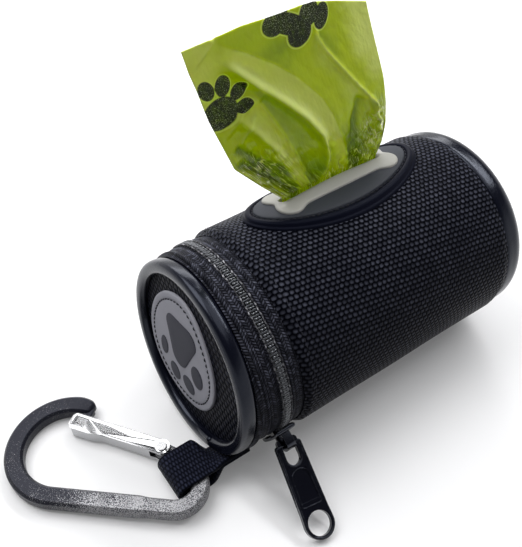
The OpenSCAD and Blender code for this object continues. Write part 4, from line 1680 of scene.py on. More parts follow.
@dataclass
class Lid(Assembly):
    """The zipped lid: piping, cloth, rubber patch with a paw, side band and lining."""

    front: float = -56
    lean: float = 6
    radius: float = 28.6
    height: float = 3.9
    width: float = 4.6
    recess: float = 2.3
    tape_half: float = 4.6
    patch_half: Pair = (17, 19)
    patch_at: Pair = (4.5, -1)
    patch_height: float = 0.8
    lining_depth: float = 2.62

    def frame(self) -> Matrix:
        """Gives the lid's own frame, leaned back about the middle of its front."""
        return laid(self.front, 0, TUBE.axis) @ turned(self.lean, "Y")

    def build(self) -> None:
        """Builds and dresses every piece of the lid."""
        self.piping()
        self.cloth()
        self.patch()
        self.pads()
        self.side_band()
        self.dress_node("lid_board", Cloths.BOARD)

    def piping(self) -> None:
        """Spins the fat vinyl piping, and lays its tail over its own start at the bottom."""
        middle = (self.radius - self.height / 2, self.width / 2)
        turn = np.linspace(0, tau, 41)
        power = 0.72
        line = pairs(
            middle[0] + self.height / 2 * np.sign(np.cos(turn)) * np.abs(np.cos(turn)) ** power,
            middle[1] + self.width / 2 * np.sign(np.sin(turn)) * np.abs(np.sin(turn)) ** power,
        )
        piece = spun("lid_rim", evened(line, 41), self.frame(), 160)

        def place(u: Rows, v: Rows) -> Rows:
            """Gives the points of the tail, thinned out at its far end."""
            around = u * tau
            degrees = np.radians(236 + 30 * v)
            end = np.sqrt(np.clip(np.minimum(v, 1 - v) / 0.09, 0, 1))
            thick = 1.05 * (1 - 0.45 * v) * end
            radius = self.radius - self.height + 0.45 + 0.5 * v + thick * 0.8 * np.cos(around)
            depth = 0.75 + 0.7 * v + thick * np.sin(around)
            return moved(points(depth, radius * np.cos(degrees), radius * np.sin(degrees)), self.frame())

        tail = Bench.spread("rim_tail", 17, 33, place)
        piece = Bench.join("lid_rim", [piece, tail])
        self.ride(Bench.smooth(piece, 60), "lid", Cloths.PIPING, "vinyl_piping", "lid_piping")

    def cloth(self) -> None:
        """Cuts the woven disc of the lid and the lining behind its board."""
        inner = self.radius - self.height - 0.05
        facing = self.frame() @ laid(self.recess, 0, 0) @ turned(180, "Z")
        piece = self.disc("lid_cloth", inner, 0.15, 0.78, facing)
        self.ride(piece, "lid", Cloths.LID, "woven_nylon", "lid_panel")
        back = self.frame() @ laid(self.recess + self.lining_depth, 0, 0)
        piece = self.disc("lid_lining_cloth", inner, 0.35, 0.6, back)
        self.ride(piece, "lid", Cloths.LINING, "lining", "lid_lining")

    def on_front(self, flat: Rows, height: Rows) -> Rows:
        """Places flat rows, seen from the front of the lid, at a height over its cloth.

        Args:
            flat: Rows of distance to the viewer's right and up, from the patch's middle.
            height: How far they stand out of the cloth.

        Returns:
            The rows as points.
        """
        right = flat[:, 0] - self.patch_at[0]
        up = flat[:, 1] + self.patch_at[1]
        return moved(points(self.recess - height, -right, up), self.frame())

    def egg(self, count: int = 145) -> Rows:
        """Gives the patch's egg-shaped outline, a little uneven as it was cut by hand."""
        turn = np.linspace(0, tau, count)
        wide = self.patch_half[0] * np.cos(turn) * (1 - 0.13 * np.sin(turn))
        tall = self.patch_half[1] * np.sin(turn)
        uneven = 1 + 0.006 * np.sin(5 * turn + 1) - 0.008 * np.maximum(0, np.sin(3 * turn - 0.4))
        return pairs(wide * uneven, tall * uneven)

    def patch(self) -> None:
        """Lofts the rubbery patch and sews it down round its edge."""
        egg = self.egg()
        high = self.patch_height
        steps = [
            (0.05, -0.1), (0.0, 0.35), (0.06, 0.6), (0.22, 0.74), (0.5, high), (1.6, high + 0.03),
            (1.95, high - 0.06), (2.2, high - 0.14), (2.45, high - 0.06), (2.9, high + 0.04),
            (3.6, high + 0.06),
        ]
        rings = [self.on_front(shifted(egg, inset), height) for inset, height in steps]
        inner = shifted(egg, 3.6)
        for share in (0.75, 0.5, 0.25, 0):
            rings.append(self.on_front(inner * share, high + 0.06))
        piece = Bench.loft("paw_patch_skin", rings)
        turn = self.frame().to_3x3()
        planar_map(piece, turn @ Vector((0, -1, 0)), turn @ Vector((0, 0, 1)))
        self.ride(Bench.smooth(piece, 60), "lid", Cloths.PATCH, "patch_grey", "paw_patch")
        line = evened(shifted(egg, 2.2), 57)
        spots = self.on_front(line, high + 0.02)
        outwards = np.tile(np.array(turn @ Vector((-1, 0, 0))), (len(line), 1))
        sewn = stitches("patch_stitches", spots, outwards, 1.35, 0.2)
        self.ride(sewn, "lid", Cloths.THREAD, "patch_dark")

    def pads(self) -> None:
        """Prints the paw: four toes over one broad pad, each a thin raised film."""
        toes = [
            (-8.7, -6.5, 2.0, 3.6, 0), (-2.5, -11.8, 2.7, 3.0, 25), (4.8, -10.6, 3.2, 2.8, -20),
            (8.7, -3.2, 3.0, 4.0, 5),
        ]
        shapes = []
        turn = np.linspace(0, tau, 41)
        for x, y, wide, tall, lean in toes:
            tilt = radians(lean)
            across, up = wide * np.cos(turn), tall * np.sin(turn)
            right = x + across * cos(tilt) - up * sin(tilt)
            above = y + across * sin(tilt) + up * cos(tilt)
            shapes.append((pairs(right, above), (x, y)))
        heel = band_round([(-4, 6, 3.9), (3.8, 7.5, 3.8), (-0.6, -3, 3.9)], 73)
        shapes.append((heel, (-0.2, 3)))
        made = []
        for outline, middle in shapes:
            rings = []
            for inset, height in ((0.0, 0.5), (0.0, 0.9), (0.08, 0.98), (0.3, 1.02)):
                rings.append(self.on_front(shifted(outline, inset), height))
            inner = shifted(outline, 0.3)
            for share in (0.6, 0.0):
                rings.append(self.on_front(inner * share + np.array(middle) * (1 - share), 1.03))
            made.append(Bench.loft("pad", rings))
        piece = Bench.smooth(Bench.join("paw_pads_print", made), 50)
        self.ride(piece, "lid", Cloths.PAD, "patch_dark", "paw_pads")

    def side_band(self) -> None:
        """Wraps the band between the piping and the zip, with a corded seam by the piping."""
        back = TUBE.zip_line - self.tape_half

        def place(u: Rows, v: Rows) -> Rows:
            """Gives the points of the band."""
            turn = u * tau
            ring = points(self.width - 0.3, TUBE.tape_radius * np.cos(turn), TUBE.tape_radius * np.sin(turn))
            front = moved(ring, self.frame())
            rear = TUBE.at(back, TUBE.tape_radius - 0.05, np.degrees(turn))
            gap = np.linalg.norm(rear - front, axis=1)
            reach = v * gap
            out = 0.55 * hump(reach, 1.3, 0.6) + 0.25 * hump(gap - reach, 0.7, 0.45) - 0.1
            away = points(0.0, np.cos(turn), np.sin(turn))
            return front + (rear - front) * v[:, None] + away * out[:, None]

        piece = Bench.spread("lid_side_cloth", 241, 33, place, (tau * TUBE.tape_radius, 6.0))
        for loop in piece.data.loops:
            spot = piece.data.uv_layers.active.data[loop.index].uv
            x = piece.data.vertices[loop.vertex_index].co.x / MM
            piece.data.uv_layers.active.data[loop.index].uv = (x, spot[0])
        Bench.thicken(piece, 0.7)
        self.ride(Bench.smooth(piece, 60), "lid", Cloths.TAPE, "woven_nylon", "lid_gusset")


@dataclass
class Slider(Assembly):
    """The zip's slider with its bridge, and the pull that hangs from it."""

    angle: float = 208
    length: float = 11
    width: float = 8.4
    plate: float = 1.0
    play: float = 0.3
    tape: float = 0.5
    coil_top: float = 29.164
    pull_bar: float = 32.914
    pull_fall: float = 208
    pull_skew: float = -8.5
    pull_length: float = 27
    pull_width: float = 8.6
    pull_thickness: float = 1.7
    pull_eye: float = 3.35

    def build(self) -> None:
        """Builds and dresses the slider, the bridge and the pull."""
        self.body()
        self.bridge()
        self.pull()

    def outline(self, count: int = 97) -> Rows:
        """Gives a plate's outline: a narrow tail towards +Y and two shoulders."""
        circles = []
        for side in (-1, 1):
            circles.append((side * (self.width * 0.37 - 0.5), self.length / 2 - 0.5, 0.5))
            circles.append((side * (self.width / 2 - 1.8), 1.8 - self.length / 2, 1.8))
        return band_round(circles, count)

    def leaf(self, name: str, low: float, high: float) -> Piece:
        """Lofts one rounded plate, curved with the zip.

        Args:
            name: The piece's name.
            low: Radius of its underside.
            high: Radius of its top.

        Returns:
            The plate.
        """
        outline = self.outline()
        thick = high - low
        steps = [(0.25, 0.0), (0.07, 0.1), (0.0, 0.3), (0.0, 0.55), (0.1, 0.8), (0.3, 0.95), (0.55, 1.0)]
        rings = []
        for share in (0.0, 0.5):
            rings.append(self.placed(shifted(outline, 0.25) * share, low))
        for step, share in steps:
            rings.append(self.placed(shifted(outline, step), low + share * thick))
        inner = shifted(outline, 0.55)
        for share in (0.6, 0.3, 0.0):
            rings.append(self.placed(inner * share, high + 0.12 * (1 - share)))
        return Bench.loft(name, rings)

    def placed(self, flat: Rows, radius: float) -> Rows:
        """Presses flat rows on to the zip's curve at the slider."""
        return TUBE.wrap(self.angle, flat + np.array([TUBE.zip_line, 0]), radius)

    def body(self) -> None:
        """Builds both plates, the post between them and the lips that guide the tapes."""
        low = TUBE.tape_radius - self.tape - self.play - self.plate
        top = self.coil_top + self.play
        parts = [self.leaf("under", low, low + self.plate), self.leaf("over", top, top + self.plate)]
        spot = (TUBE.zip_line, -self.length / 2 + 1.7, (low + top + self.plate) / 2)
        parts.append(Bench.cylinder("post", 0.8, top - low, TUBE.frame(self.angle) @ laid(*spot), 24))
        for side in (-1, 1):
            place = TUBE.frame(self.angle) @ laid(TUBE.zip_line + side * 3.75, -1.4, top - 0.05)
            lip = Bench.block("lip", (0.7, 6.4, 0.9), place @ turned(side * 2.0, "Z"))
            parts.append(Bench.round_edges(lip, 0.28, 3))
        piece = Bench.smooth(Bench.join("zip_slider_body", parts), 45)
        self.ride(piece, "slider", Cloths.ENAMEL, "black_zinc", "zip_slider")

    def bridge(self) -> None:
        """Rounds the arched bridge."""
        piece = Bench.cast("slider_arch", "slider_bridge")
        Bench.round_edges(piece, 0.22, 2, 40)
        self.ride(Bench.even_smooth(piece), "slider", Cloths.ENAMEL, "black_zinc", "slider_bridge")

    def pull_frame(self) -> Matrix:
        """Gives the pull's own frame: its bar at the origin, hanging along -Y."""
        hang = turned(self.pull_fall - self.angle - 90, "X")
        place = laid(TUBE.zip_line, 0, self.pull_bar)
        return TUBE.frame(self.angle) @ place @ hang @ turned(self.pull_skew, "Z")

    def bead(self, line: Rows, radius: float, height: float) -> Piece:
        """Lays a raised edge along a closed line on the pull's face.

        Args:
            line: Rows in the pull's frame, the last one on the first.
            radius: Radius of the edge.
            height: Height of its middle over the pull's middle.

        Returns:
            The edge, a closed ring.
        """
        rings = []
        for turn in np.linspace(0, tau, 9):
            flat = line - inwards(line) * radius * cos(turn)
            spots = points(flat[:, 0], flat[:, 1], height + radius * sin(turn))
            rings.append(moved(spots, self.pull_frame()))
        return Bench.loft("bead", rings)

    def pull(self) -> None:
        """Rounds the pull, and raises an edge round its outline, its slot and its bare panel."""
        piece = Bench.cast("pull_tab", "zip_pull")
        end = -self.pull_length + self.pull_width / 2
        below = band_round([(0, -4.4, 2.05), (0, -3.6, 2.05)], 65)
        mouth = Bench.slab("mouth", below[:-1], 2, self.pull_frame())
        eye = Bench.cylinder("eye", self.pull_eye, 4, self.pull_frame() @ laid(0, end, 0), 64)
        Bench.cut(piece, [mouth, eye])
        Bench.round_edges(piece, 0.24, 3, 40)
        top = [(-3.05, -1.0, 0.5), (3.05, -1.0, 0.5)]
        outline = band_round([(0, end, self.pull_width / 2 - 0.42), *top], 145)
        slot = band_round([(0, -4.4, 2.3), (-2.1, -1.6, 0.2), (2.1, -1.6, 0.2)], 73)
        panel = band_round([(0, -10.3, 2.7), (-2.35, -17.2, 0.5), (2.35, -17.2, 0.5)], 97)
        parts = [piece]
        for line, radius, sink in ((outline, 0.3, 0.08), (slot, 0.3, 0.1), (panel, 0.16, 0.02)):
            for side in (-1, 1):
                parts.append(self.bead(line, radius, side * (self.pull_thickness / 2 - sink)))
        piece = Bench.join("pull_tab", parts)
        self.ride(Bench.even_smooth(piece), "pull", Cloths.ENAMEL, "black_zinc", "zip_pull")


@dataclass
class Strap(Assembly):
    """The webbing loop between the lid's seam and the carabiner."""

    lid_front: float = -56
    width: float = 12.5
    thickness: float = 1.1
    root_angle: float = 233.6
    root_radius: float = 29.5
    carabiner_x: float = -72
    bar: float = 4.4
    clip_z: float = 4.1
    flat_from: float = 9.3
    seam_gap: float = 2.6
    aside: float = 1.43
    root_x: float = -57.5

    def lines(self) -> Rows:
        """Gives the strap's middle line in X and Z: up from the seam, round the bar and back."""
        fold = self.carabiner_x - 1.9
        inner = self.thickness + 0.15
        outer = self.clip_z + self.bar / 2 + 0.3 + 0.1
        root_z = TUBE.axis + self.root_radius * sin(radians(self.root_angle))
        step = (self.thickness + 0.1) / cos(radians(self.root_angle - 270))
        start = self.carabiner_x + self.flat_from
        middle = (inner + outer) / 2
        half = (outer - inner + self.thickness) / 2
        share = np.linspace(0, 1, 15)
        rise = np.array(ease(share))
        run = (self.lid_front - self.seam_gap) * (1 - share) + start * share
        above = pairs(run, root_z * (1 - rise) + (middle + half) * rise)
        below = pairs(run, (root_z - step) * (1 - rise) + (middle - half) * rise)[::-1]
        turn = np.radians(np.linspace(90, 270, 25))
        bend = pairs(fold + half * (1 + 0.62 * np.cos(turn)), middle + half * np.sin(turn))
        root = [[self.lid_front + 6, root_z], [self.lid_front - 1, root_z]]
        tail = [[self.lid_front - 1, root_z - step], [self.lid_front + 6, root_z - step]]
        line = evened(np.vstack([root, above, bend, below, tail]), 181)
        for _ in range(6):
            line[1:-1] = (line[:-2] + 2 * line[1:-1] + line[2:]) / 4
        return line

    def build(self) -> None:
        """Weaves the strap, twisted to lie along the lid's seam."""
        line = self.lines()
        run = np.gradient(line, axis=0)
        run /= np.linalg.norm(run, axis=1)[:, None]
        start = self.carabiner_x + self.flat_from
        full = self.root_angle - 270
        root_y = self.root_radius * cos(radians(self.root_angle))

        def place(u: Rows, v: Rows) -> Rows:
            """Gives the points of the strap's middle skin."""
            spot = along(line, v)
            share = ease((spot[:, 0] - start) / (self.lid_front - self.seam_gap - start))
            twist = np.radians(full * share)
            middle = root_y + self.aside * (1 - share)
            across = (u - 0.5) * (self.width - 0.3)
            return points(spot[:, 0], middle + across * np.cos(twist), spot[:, 1] + across * np.sin(twist))

        length = float(np.linalg.norm(np.diff(line, axis=0), axis=1).sum())
        piece = Bench.spread("webbing_strap", 21, 181, place, (self.width, length))
        Bench.thicken(piece, self.thickness - 0.06, 0)
        Bench.round_edges(piece, 0.3, 2, 50)
        self.dress(Bench.smooth(piece, 60), Cloths.WEBBING, "webbing", "webbing_loop")
        root = TUBE.at(self.root_x, self.root_radius, self.root_angle)
        start, end = (root + np.array([shift, 0, 0]) for shift in (1.5, -4.5))
        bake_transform(piece)


@dataclass
class Carabiner(Assembly):
    """The flat forged carabiner with its sprung gate."""

    place: Spot = (-72, -18.467, 4.1)
    turn: float = 125.5
    dip: float = 1.994
    span: float = 34.4
    hook: float = 14.6
    eye: float = 6.9
    bar: Pair = (5.4, 4.4)
    nose: float = -96
    pivot: Pair = (8.3, -9)

    def frame(self) -> Matrix:
        """Gives the carabiner's own frame: small bend at the origin, large bend along X."""
        return laid(*self.place) @ turned(self.turn, "Z") @ turned(self.dip, "Y")

    def build(self) -> None:
        """Builds and dresses the body and the gate, and dresses the pins and the spring."""
        self.body()
        self.gate()
        for node in ("gate_pin", "nose_pin", "gate_spring"):
            self.dress_node(node, Cloths.STEEL)

    def centre_line(self) -> Rows:
        """Gives rows of the bar's middle line and its outward direction, from nose to lug."""
        taper = math.degrees(math.asin((self.hook - self.eye) / self.span))
        rows = []

        def bend(x: float, radius: float, start: float, end: float, count: int) -> None:
            """Adds the rows of a bend round a middle on the X axis."""
            for degrees in np.linspace(start, end, count):
                run = (cos(radians(degrees)), sin(radians(degrees)))
                rows.append((x + radius * run[0], radius * run[1], *run))

        bend(self.span, self.hook, self.nose, 90 + taper, 90)
        lean = radians(90 + taper)
        run = (cos(lean), sin(lean))
        first = np.array([self.span + self.hook * run[0], self.hook * run[1]])
        last = np.array([self.eye * run[0], self.eye * run[1]])
        for share in np.linspace(0, 1, 20)[1:-1]:
            rows.append((*(first * (1 - share) + last * share), *run))
        bend(0, self.eye, 90 + taper, 270, 50)
        for x in (1.5, 3.0, 4.2):
            rows.append((x, -self.eye, 0, -1))
        return evened(np.array(rows), 221)

    def section(self) -> Rows:
        """Gives the bar's section: flat faces, forged chamfers and softened corners."""
        wide, tall, chamfer = self.bar[0] / 2, self.bar[1] / 2, 0.75
        corners = []
        for x, y in ((1, 1), (-1, 1), (-1, -1), (1, -1)):
            pair = [(x * wide, y * (tall - chamfer)), (x * (wide - chamfer), y * tall)]
            corners += pair if x * y > 0 else pair[::-1]
        rows = []
        for k, corner in enumerate(corners):
            before, after = np.array(corners[k - 1]), np.array(corners[(k + 1) % 8])
            spot = np.array(corner)
            back = (before - spot) / np.linalg.norm(before - spot)
            forth = (after - spot) / np.linalg.norm(after - spot)
            rows += [spot + back * 0.1, spot + forth * 0.1]
        ring = np.array(rows)
        return np.vstack([ring, ring[:1]])

    def body(self) -> None:
        """Sweeps the bar along its line, and adds the lug and the nose."""
        line, ring = self.centre_line(), self.section()
        reach = np.linalg.norm(np.diff(line[:, :2], axis=0), axis=1).sum()

        def place(u: Rows, v: Rows) -> Rows:
            """Gives the points of the bar, closed by a rounded nose."""
            spot = along(line, v)
            flat = ring[np.rint(u * (len(ring) - 1)).astype(int)]
            from_nose, from_lug = v * reach, (1 - v) * reach
            close = np.sqrt(np.clip(1 - (1 - np.clip(from_nose / 2.2, 0, 1)) ** 2, 0, 1))
            close = close * (0.78 + 0.22 * ease(from_nose / 5))
            close = close * np.sqrt(np.clip(1 - (1 - np.clip(from_lug / 0.8, 0, 1)) ** 2, 0, 1))
            narrow = 1 - 0.12 * ease((v - 0.69) / 0.03)
            across = flat[:, 0] * close * narrow
            run = spot[:, 2:] / np.linalg.norm(spot[:, 2:], axis=1)[:, None]
            x, y = spot[:, 0] + run[:, 0] * across, spot[:, 1] + run[:, 1] * across
            return moved(points(x, y, flat[:, 1] * close), self.frame())

        bar = Bench.spread("bar", len(ring), 241, place)
        lug = arc(self.pivot, 2.2, -70, 180, 26)
        lug += [(3.4, self.pivot[1] + 2.0), (3.4, self.pivot[1] - 1.4), (7.2, self.pivot[1] - 1.9)]
        ear = Bench.slab("ear", np.array(lug), 1.15, self.frame())
        Bench.round_edges(ear, 0.25, 2)
        nose = Bench.block("nose", (3.2, 5.9, 2.2), self.frame() @ laid(self.span - 0.1, -11.25, 0))
        Bench.round_edges(nose, 0.3, 2)
        piece = Bench.smooth(Bench.join("carabiner_bar", [bar, ear, nose]), 19)
        self.ride(piece, "carabiner", Cloths.ANODISED, "black_aluminium", "carabiner_body")

    def gate(self) -> None:
        """Rounds the pressed gate, and sinks a channel into both of its faces."""
        piece = Bench.cast("gate_bar", "carabiner_gate")
        up = self.frame().to_3x3() @ Vector((0, 0, 1))
        for side in (-1, 1):
            Bench.sink_panel(piece, up * side, 0.85, 0.4)
        Bench.round_edges(piece, 0.3, 3, 40)
        self.ride(Bench.even_smooth(piece), "gate", Cloths.STEEL, "silver_aluminium", "carabiner_gate")


@dataclass(frozen=True)
class Fold:
    """A fold line of the bag, drawn from its upper end to its lower end, with painted shade and painted light
    beside and along it.

    Attributes:
        line: Distance along the slot and height over it at each of its points, in mm.
        rise: Height of the ridge along it in mm.
        width: Width of the ridge in mm.
        step: How much deeper the painted shade is on its upper right than on its lower left.
        reach: How far from the line that change fades out, in mm.
        tone: How much painted shade lies along the ridge itself; below 0 it is painted light.
    """

    line: tuple[Pair, ...]
    rise: float = 0
    width: float = 1
    step: float = 0
    reach: float = 4
    tone: float = 0

    def beside(self, x: Rows, s: Rows) -> tuple[Rows, Rows]:
        """Measures how far points lie from the line.

        Args:
            x: Distance along the slot in mm.
            s: Height over the slot in mm.

        Returns:
            The distance, positive on the upper right, and a share that fades at the line's ends.
        """
        spots = pairs(x, s)
        nearest = np.full(x.shape, np.inf)
        side, reached = np.zeros(x.shape), np.zeros(x.shape)
        for count, (start, end) in enumerate(zip(self.line[:-1], self.line[1:])):
            run = np.subtract(end, start)
            away = spots - np.array(start)
            share = np.clip(away @ run / (run @ run), 0, 1)
            gap = np.linalg.norm(away - share[..., None] * run, axis=-1)
            nearer = gap < nearest
            nearest = np.where(nearer, gap, nearest)
            side = np.where(nearer, np.sign(run[0] * away[..., 1] - run[1] * away[..., 0]), side)
            reached = np.where(nearer, (count + share) / (len(self.line) - 1), reached)
        return nearest * side, ease(np.minimum(reached, 1 - reached) / 0.14)

    def height(self, x: Rows, s: Rows) -> Rows:
        """Gives how far the ridge lifts the film, in mm."""
        gap, fade = self.beside(x, s)
        return self.rise * fade * hump(gap, 0, self.width)

    def depth(self, x: Rows, s: Rows) -> Rows:
        """Gives the painted shade beside and along the fold, painted light where it is below 0."""
        gap, fade = self.beside(x, s)
        # Painted shade on one side of the fold and painted light on the other, and painted shade or light
        # along it.
        beside = self.step / 2 * np.tanh(gap / 0.4) * np.exp(-np.abs(gap) / self.reach)
        return fade * (beside + self.tone * hump(gap, 0, self.width))


@dataclass
class Bags(Assembly):
    """The roll inside the pouch and the bag drawn from the slot."""

    roll: Pair = (-6.385, 21.568)
    roll_radius: float = 16.2
    roll_length: float = 58
    core: float = 8
    slot_z: float = 59.087
    lip: float = 1.3
    tall: float = 53.0
    foot: float = 38.0
    gathered: float = 33.0
    film: float = 0.12
    bag_y: float = 10.61
    lean: float = 8
    left: tuple[Pair, ...] = (
        (-15.8, 0), (-19.2, 3.0), (-22.3, 6.1), (-29.4, 14.3), (-31.9, 22.3), (-34.3, 29.6), (-36.5, 38.2),
        (-38.3, 43.7), (-39.8, 49.7),
    )
    right: tuple[Pair, ...] = (
        (16.8, 0), (18.3, 3.5), (19.0, 10.0), (18.8, 16.0), (18.0, 23.5), (16.4, 31.4), (13.9, 44.2),
        (12.6, 51.0),
    )
    top: tuple[Pair, ...] = (
        (0, 49.7), (0.28, 51.4), (0.6, 50.6), (0.68, 50.1), (0.83, 47.5), (1, 44.4),
    )
    creases: tuple[Fold, ...] = (
        Fold(((-34, 51), (-24.6, 45), (-16.7, 39.5), (-10.3, 33.8), (-3.9, 26.5), (-1.4, 21.8), (2.3, 12.4),
              (5.6, 3), (6.4, -3)), rise=0.6, width=2.0, step=0.75, reach=7),
        Fold(((-30.5, 43.8), (-27.3, 41.1), (-21.9, 35.4), (-15.6, 29.5), (-8.9, 22.3), (-4.4, 15.6),
              (-3.4, 11.1), (-3.1, 4.1), (-3.8, -3)), rise=1.6, width=1.3, step=-0.8, reach=5),
        Fold(((-23.5, 35), (-21.3, 31.2), (-16.2, 21.8), (-12.6, 13.5), (-9.8, 5.0), (-6.7, -3)),
             rise=1.0, width=1.3, step=0.65, reach=4),
        Fold(((-28.7, 29.6), (-22.7, 22.6), (-18.6, 17.0), (-15.0, 9.4), (-11.1, 2.3), (-9.5, -2)),
             rise=1.0, width=1.4, step=-0.5, reach=3.5),
        Fold(((-3.9, 44), (-3.4, 41.0), (-1.5, 37.8), (3.1, 31.8), (8.5, 24.8), (13.8, 18.5), (16, 15)),
             rise=1.0, width=0.6, step=0.5, reach=8, tone=-0.45),
        Fold(((10, 22), (8.6, 19.9), (6.9, 15.6), (6.3, 10.7), (8.6, 1.7), (9, -2)),
             rise=-1.3, width=1.9, tone=0.4),
        Fold(((-3.4, 13), (-0.6, 10.0), (0.4, 3.7), (0.9, -3)), rise=-0.8, width=1.1, tone=0.25),
        Fold(((-30.5, 15), (-25.7, 13.1), (-19.4, 7.7), (-13.3, 1.7), (-12.4, -3)),
             rise=-1.6, width=1.5, tone=0.5),
        Fold(((-30, 14.5), (-28.2, 12.6), (-21.8, 5.4), (-17.4, 0.6), (-16, -3)),
             rise=1.6, width=1.4, tone=-0.25),
        Fold(((12, 21), (13.8, 17.0), (15.2, 9.2), (12.3, 2.9), (11, -3)), rise=1.7, width=1.1, tone=-0.15),
        Fold(((17.5, 6), (15, 3.4), (11.7, 1.5), (9.5, -1)), rise=1.2, width=0.8, tone=-0.2),
        Fold(((-38, 42), (-36.2, 45.5), (-33.5, 48.6), (-32, 51)), rise=0.5, width=0.5, tone=-0.15),
        Fold(((-22.4, 27.3), (-23.4, 25.6), (-25.7, 22.4), (-27, 20)), rise=0.5, width=0.5, tone=-0.2),
        Fold(((-20, 34), (-22.5, 31.5), (-26.0, 28.5), (-30.9, 23.6), (-32, 22)),
             rise=0.7, width=0.9, tone=-0.1),
        Fold(((-29, 20), (-26, 17.5), (-22, 13), (-17, 10), (-13, 6)), rise=-1.0, width=1.6, tone=0.4),
    )

    def build(self) -> None:
        """Builds and dresses the roll and the bag."""
        self.wound_roll()
        self.tube_core()
        self.bag()

    def wound_roll(self) -> None:
        """Winds the roll, with its layers showing as a spiral at both ends."""
        half = self.roll_length / 2

        def place(u: Rows, v: Rows) -> Rows:
            """Gives the points of the roll's skin, from one end's hole to the other's."""
            turn = u * tau
            cap = 0.3
            inside = np.minimum(v, 1 - v) / cap
            share = np.clip(inside, 0, 1)
            radius = self.core + 0.1 + (self.roll_radius - self.core - 0.1) * share
            radius = radius - 0.12 * (np.sin(turn * 3 + v * 9) ** 2) * (share > 0.98)
            spiral = (radius / 0.9 - u) % 1
            x = np.sign(v - 0.5) * (half - 0.35 * spiral * (share < 0.99))
            x = np.where(inside > 1, half * (v - 0.5) / (0.5 - cap), x)
            return points(x, self.roll[0] + radius * np.cos(turn), self.roll[1] + radius * np.sin(turn))

        piece = Bench.spread("bag_roll", 129, 81, place)
        self.ride(Bench.smooth(piece, 50), "roll", Cloths.ROLL, "bag_film", "roll_film")

    def tube_core(self) -> None:
        """Softens the edges of the card core."""
        piece = Bench.cast("card_core", "roll_core")
        Bench.round_edges(piece, 0.2, 2, 50)
        self.ride(Bench.smooth(piece, 45), "roll", Cloths.CARD, "card", "roll_core")

    def edge(self, side: Sequence[Pair], height: Rows) -> Rows:
        """Gives how far an edge of the bag lies from its middle at a height."""
        return np.interp(height, [row[1] for row in side], [row[0] for row in side])

    def folds(self, x: Rows, s: Rows, u: Rows) -> Rows:
        """Gives how far the bag stands out of its own plane.

        Args:
            x: Distance along the slot in mm.
            s: Height over the slot in mm.
            u: Share of the way from the left edge to the right.

        Returns:
            The distance towards the viewer in mm.
        """
        near = np.exp(-s / 9)
        tucks = 0.4 * crease(u * 8.1 - s * 0.02)
        gathers = near * (0.8 * np.sin(u * 27 + s * 0.08) + tucks + 0.25 * crease(u * 15.7 + 0.4))
        held = ease(u / 0.08) * ease((1 - u) / 0.08)
        ridges = sum(fold.height(x, s) for fold in self.creases)
        slow = 1.6 * np.sin(x * 0.085 + s * 0.05 + 0.7) + 0.9 * np.sin(s * 0.11 - x * 0.04)
        crinkle = 0.5 * crease(x * 0.21 + s * 0.11) + 0.4 * crease(x * 0.1 - s * 0.24 + 0.3)
        crinkle = crinkle + 0.25 * crease(x * 0.37 + s * 0.31)
        flap = 2.4 * hump(x, -18, 4.5) * hump(s, 1.5, 3.2)
        return held * (gathers + self.crushed(x, s) * crinkle + ridges) + ease(s / 10) * slow + flap

    @staticmethod
    def crushed(x: Rows, s: Rows) -> Rows:
        """Gives where the film is crushed: at its foot, most of all at both ends."""
        right = 1.1 * hump(x, 15, 6) * hump(s, 8, 8)
        left = 0.9 * hump(x, -23, 8) * hump(s, 9, 7)
        return np.clip(right + left + 0.5 * np.exp(-s / 6) + 0.06, 0, 1)

    def stand(self, x: Rows, s: Rows, out: Rows) -> Rows:
        """Places the bag's points over the slot, leaned back."""
        lean = radians(self.lean)
        y = self.bag_y + s * sin(lean) - out * cos(lean)
        z = self.slot_z + self.lip + s * cos(lean) + out * sin(lean)
        return points(x, y, z)

    def bag(self) -> None:
        """Gathers the folded bag at the slot and fans it out above."""

        def place(u: Rows, v: Rows) -> Rows:
            """Gives the points of the bag's front sheet, its foot going down to the roll."""
            reach = v * (self.foot + self.tall) - self.foot
            top = np.interp(u, [row[0] for row in self.top], [row[1] for row in self.top])
            s = np.maximum(reach, 0) / self.tall * top
            low, high = self.edge(self.left, s), self.edge(self.right, s)
            x = low + (high - low) * u
            spots = self.stand(x, s, self.folds(x, s, u) * ease(s / 1.6))
            sunk = reach < 0
            wave = 0.25 * np.sin(u * 40) * np.minimum(1, -reach / 4)
            spots[:, 1] = np.where(sunk, self.bag_y + wave, spots[:, 1])
            spots[:, 2] = np.where(sunk, self.slot_z + self.lip + reach, spots[:, 2])
            spots[:, 0] = np.where(sunk, (u - 0.5) * self.gathered, spots[:, 0])
            return spots

        piece = Bench.spread("drawn_bag", 181, 217, place, (self.roll_length, self.foot + self.tall))
        self.paint(piece)
        Bench.thicken(piece, self.film, 0)
        self.ride(Bench.smooth(piece, 180), "bag", Cloths.BAG, "bag_film", "bag_film")

    def paint(self, piece: Piece) -> None:
        """Keeps three values at each point of the bag: its layers with the painted shade and light of its
        folds, its ink and how crushed it is.

        Args:
            piece: The bag's front sheet, still flat in its UV map.
        """
        mesh = piece.data
        spots = np.array([v.co for v in mesh.vertices]) / MM
        x, s = spots[:, 0], (spots[:, 2] - self.slot_z - self.lip) / cos(radians(self.lean))
        # Painted shade and light over the film's layers: darker towards the foot and along the folds, lighter
        # to the upper right and upper left, darker in two patches.
        deep = 0.42 + 0.28 * np.exp(-np.maximum(s, 0) / 12) + sum(fold.depth(x, s) for fold in self.creases)
        deep = deep - 0.5 * ease((x - 1) / 12) * ease((s - 16) / 14)
        deep = deep - 0.35 * ease((-30 - x) / 6) * ease((s - 28) / 10)
        deep = deep + 0.22 * hump(x, 10, 4.2) * hump(s, 28.5, 3.6) + 0.2 * hump(x, -11, 9) * hump(s, 41, 5)
        kept = {"layers": np.clip(deep, 0, 1), "ink": self.prints(x, s), "crush": self.crushed(x, s)}
        for name, values in kept.items():
            mesh.attributes.new(name, "FLOAT", "POINT").data.foreach_set("value", values.astype(np.float32))

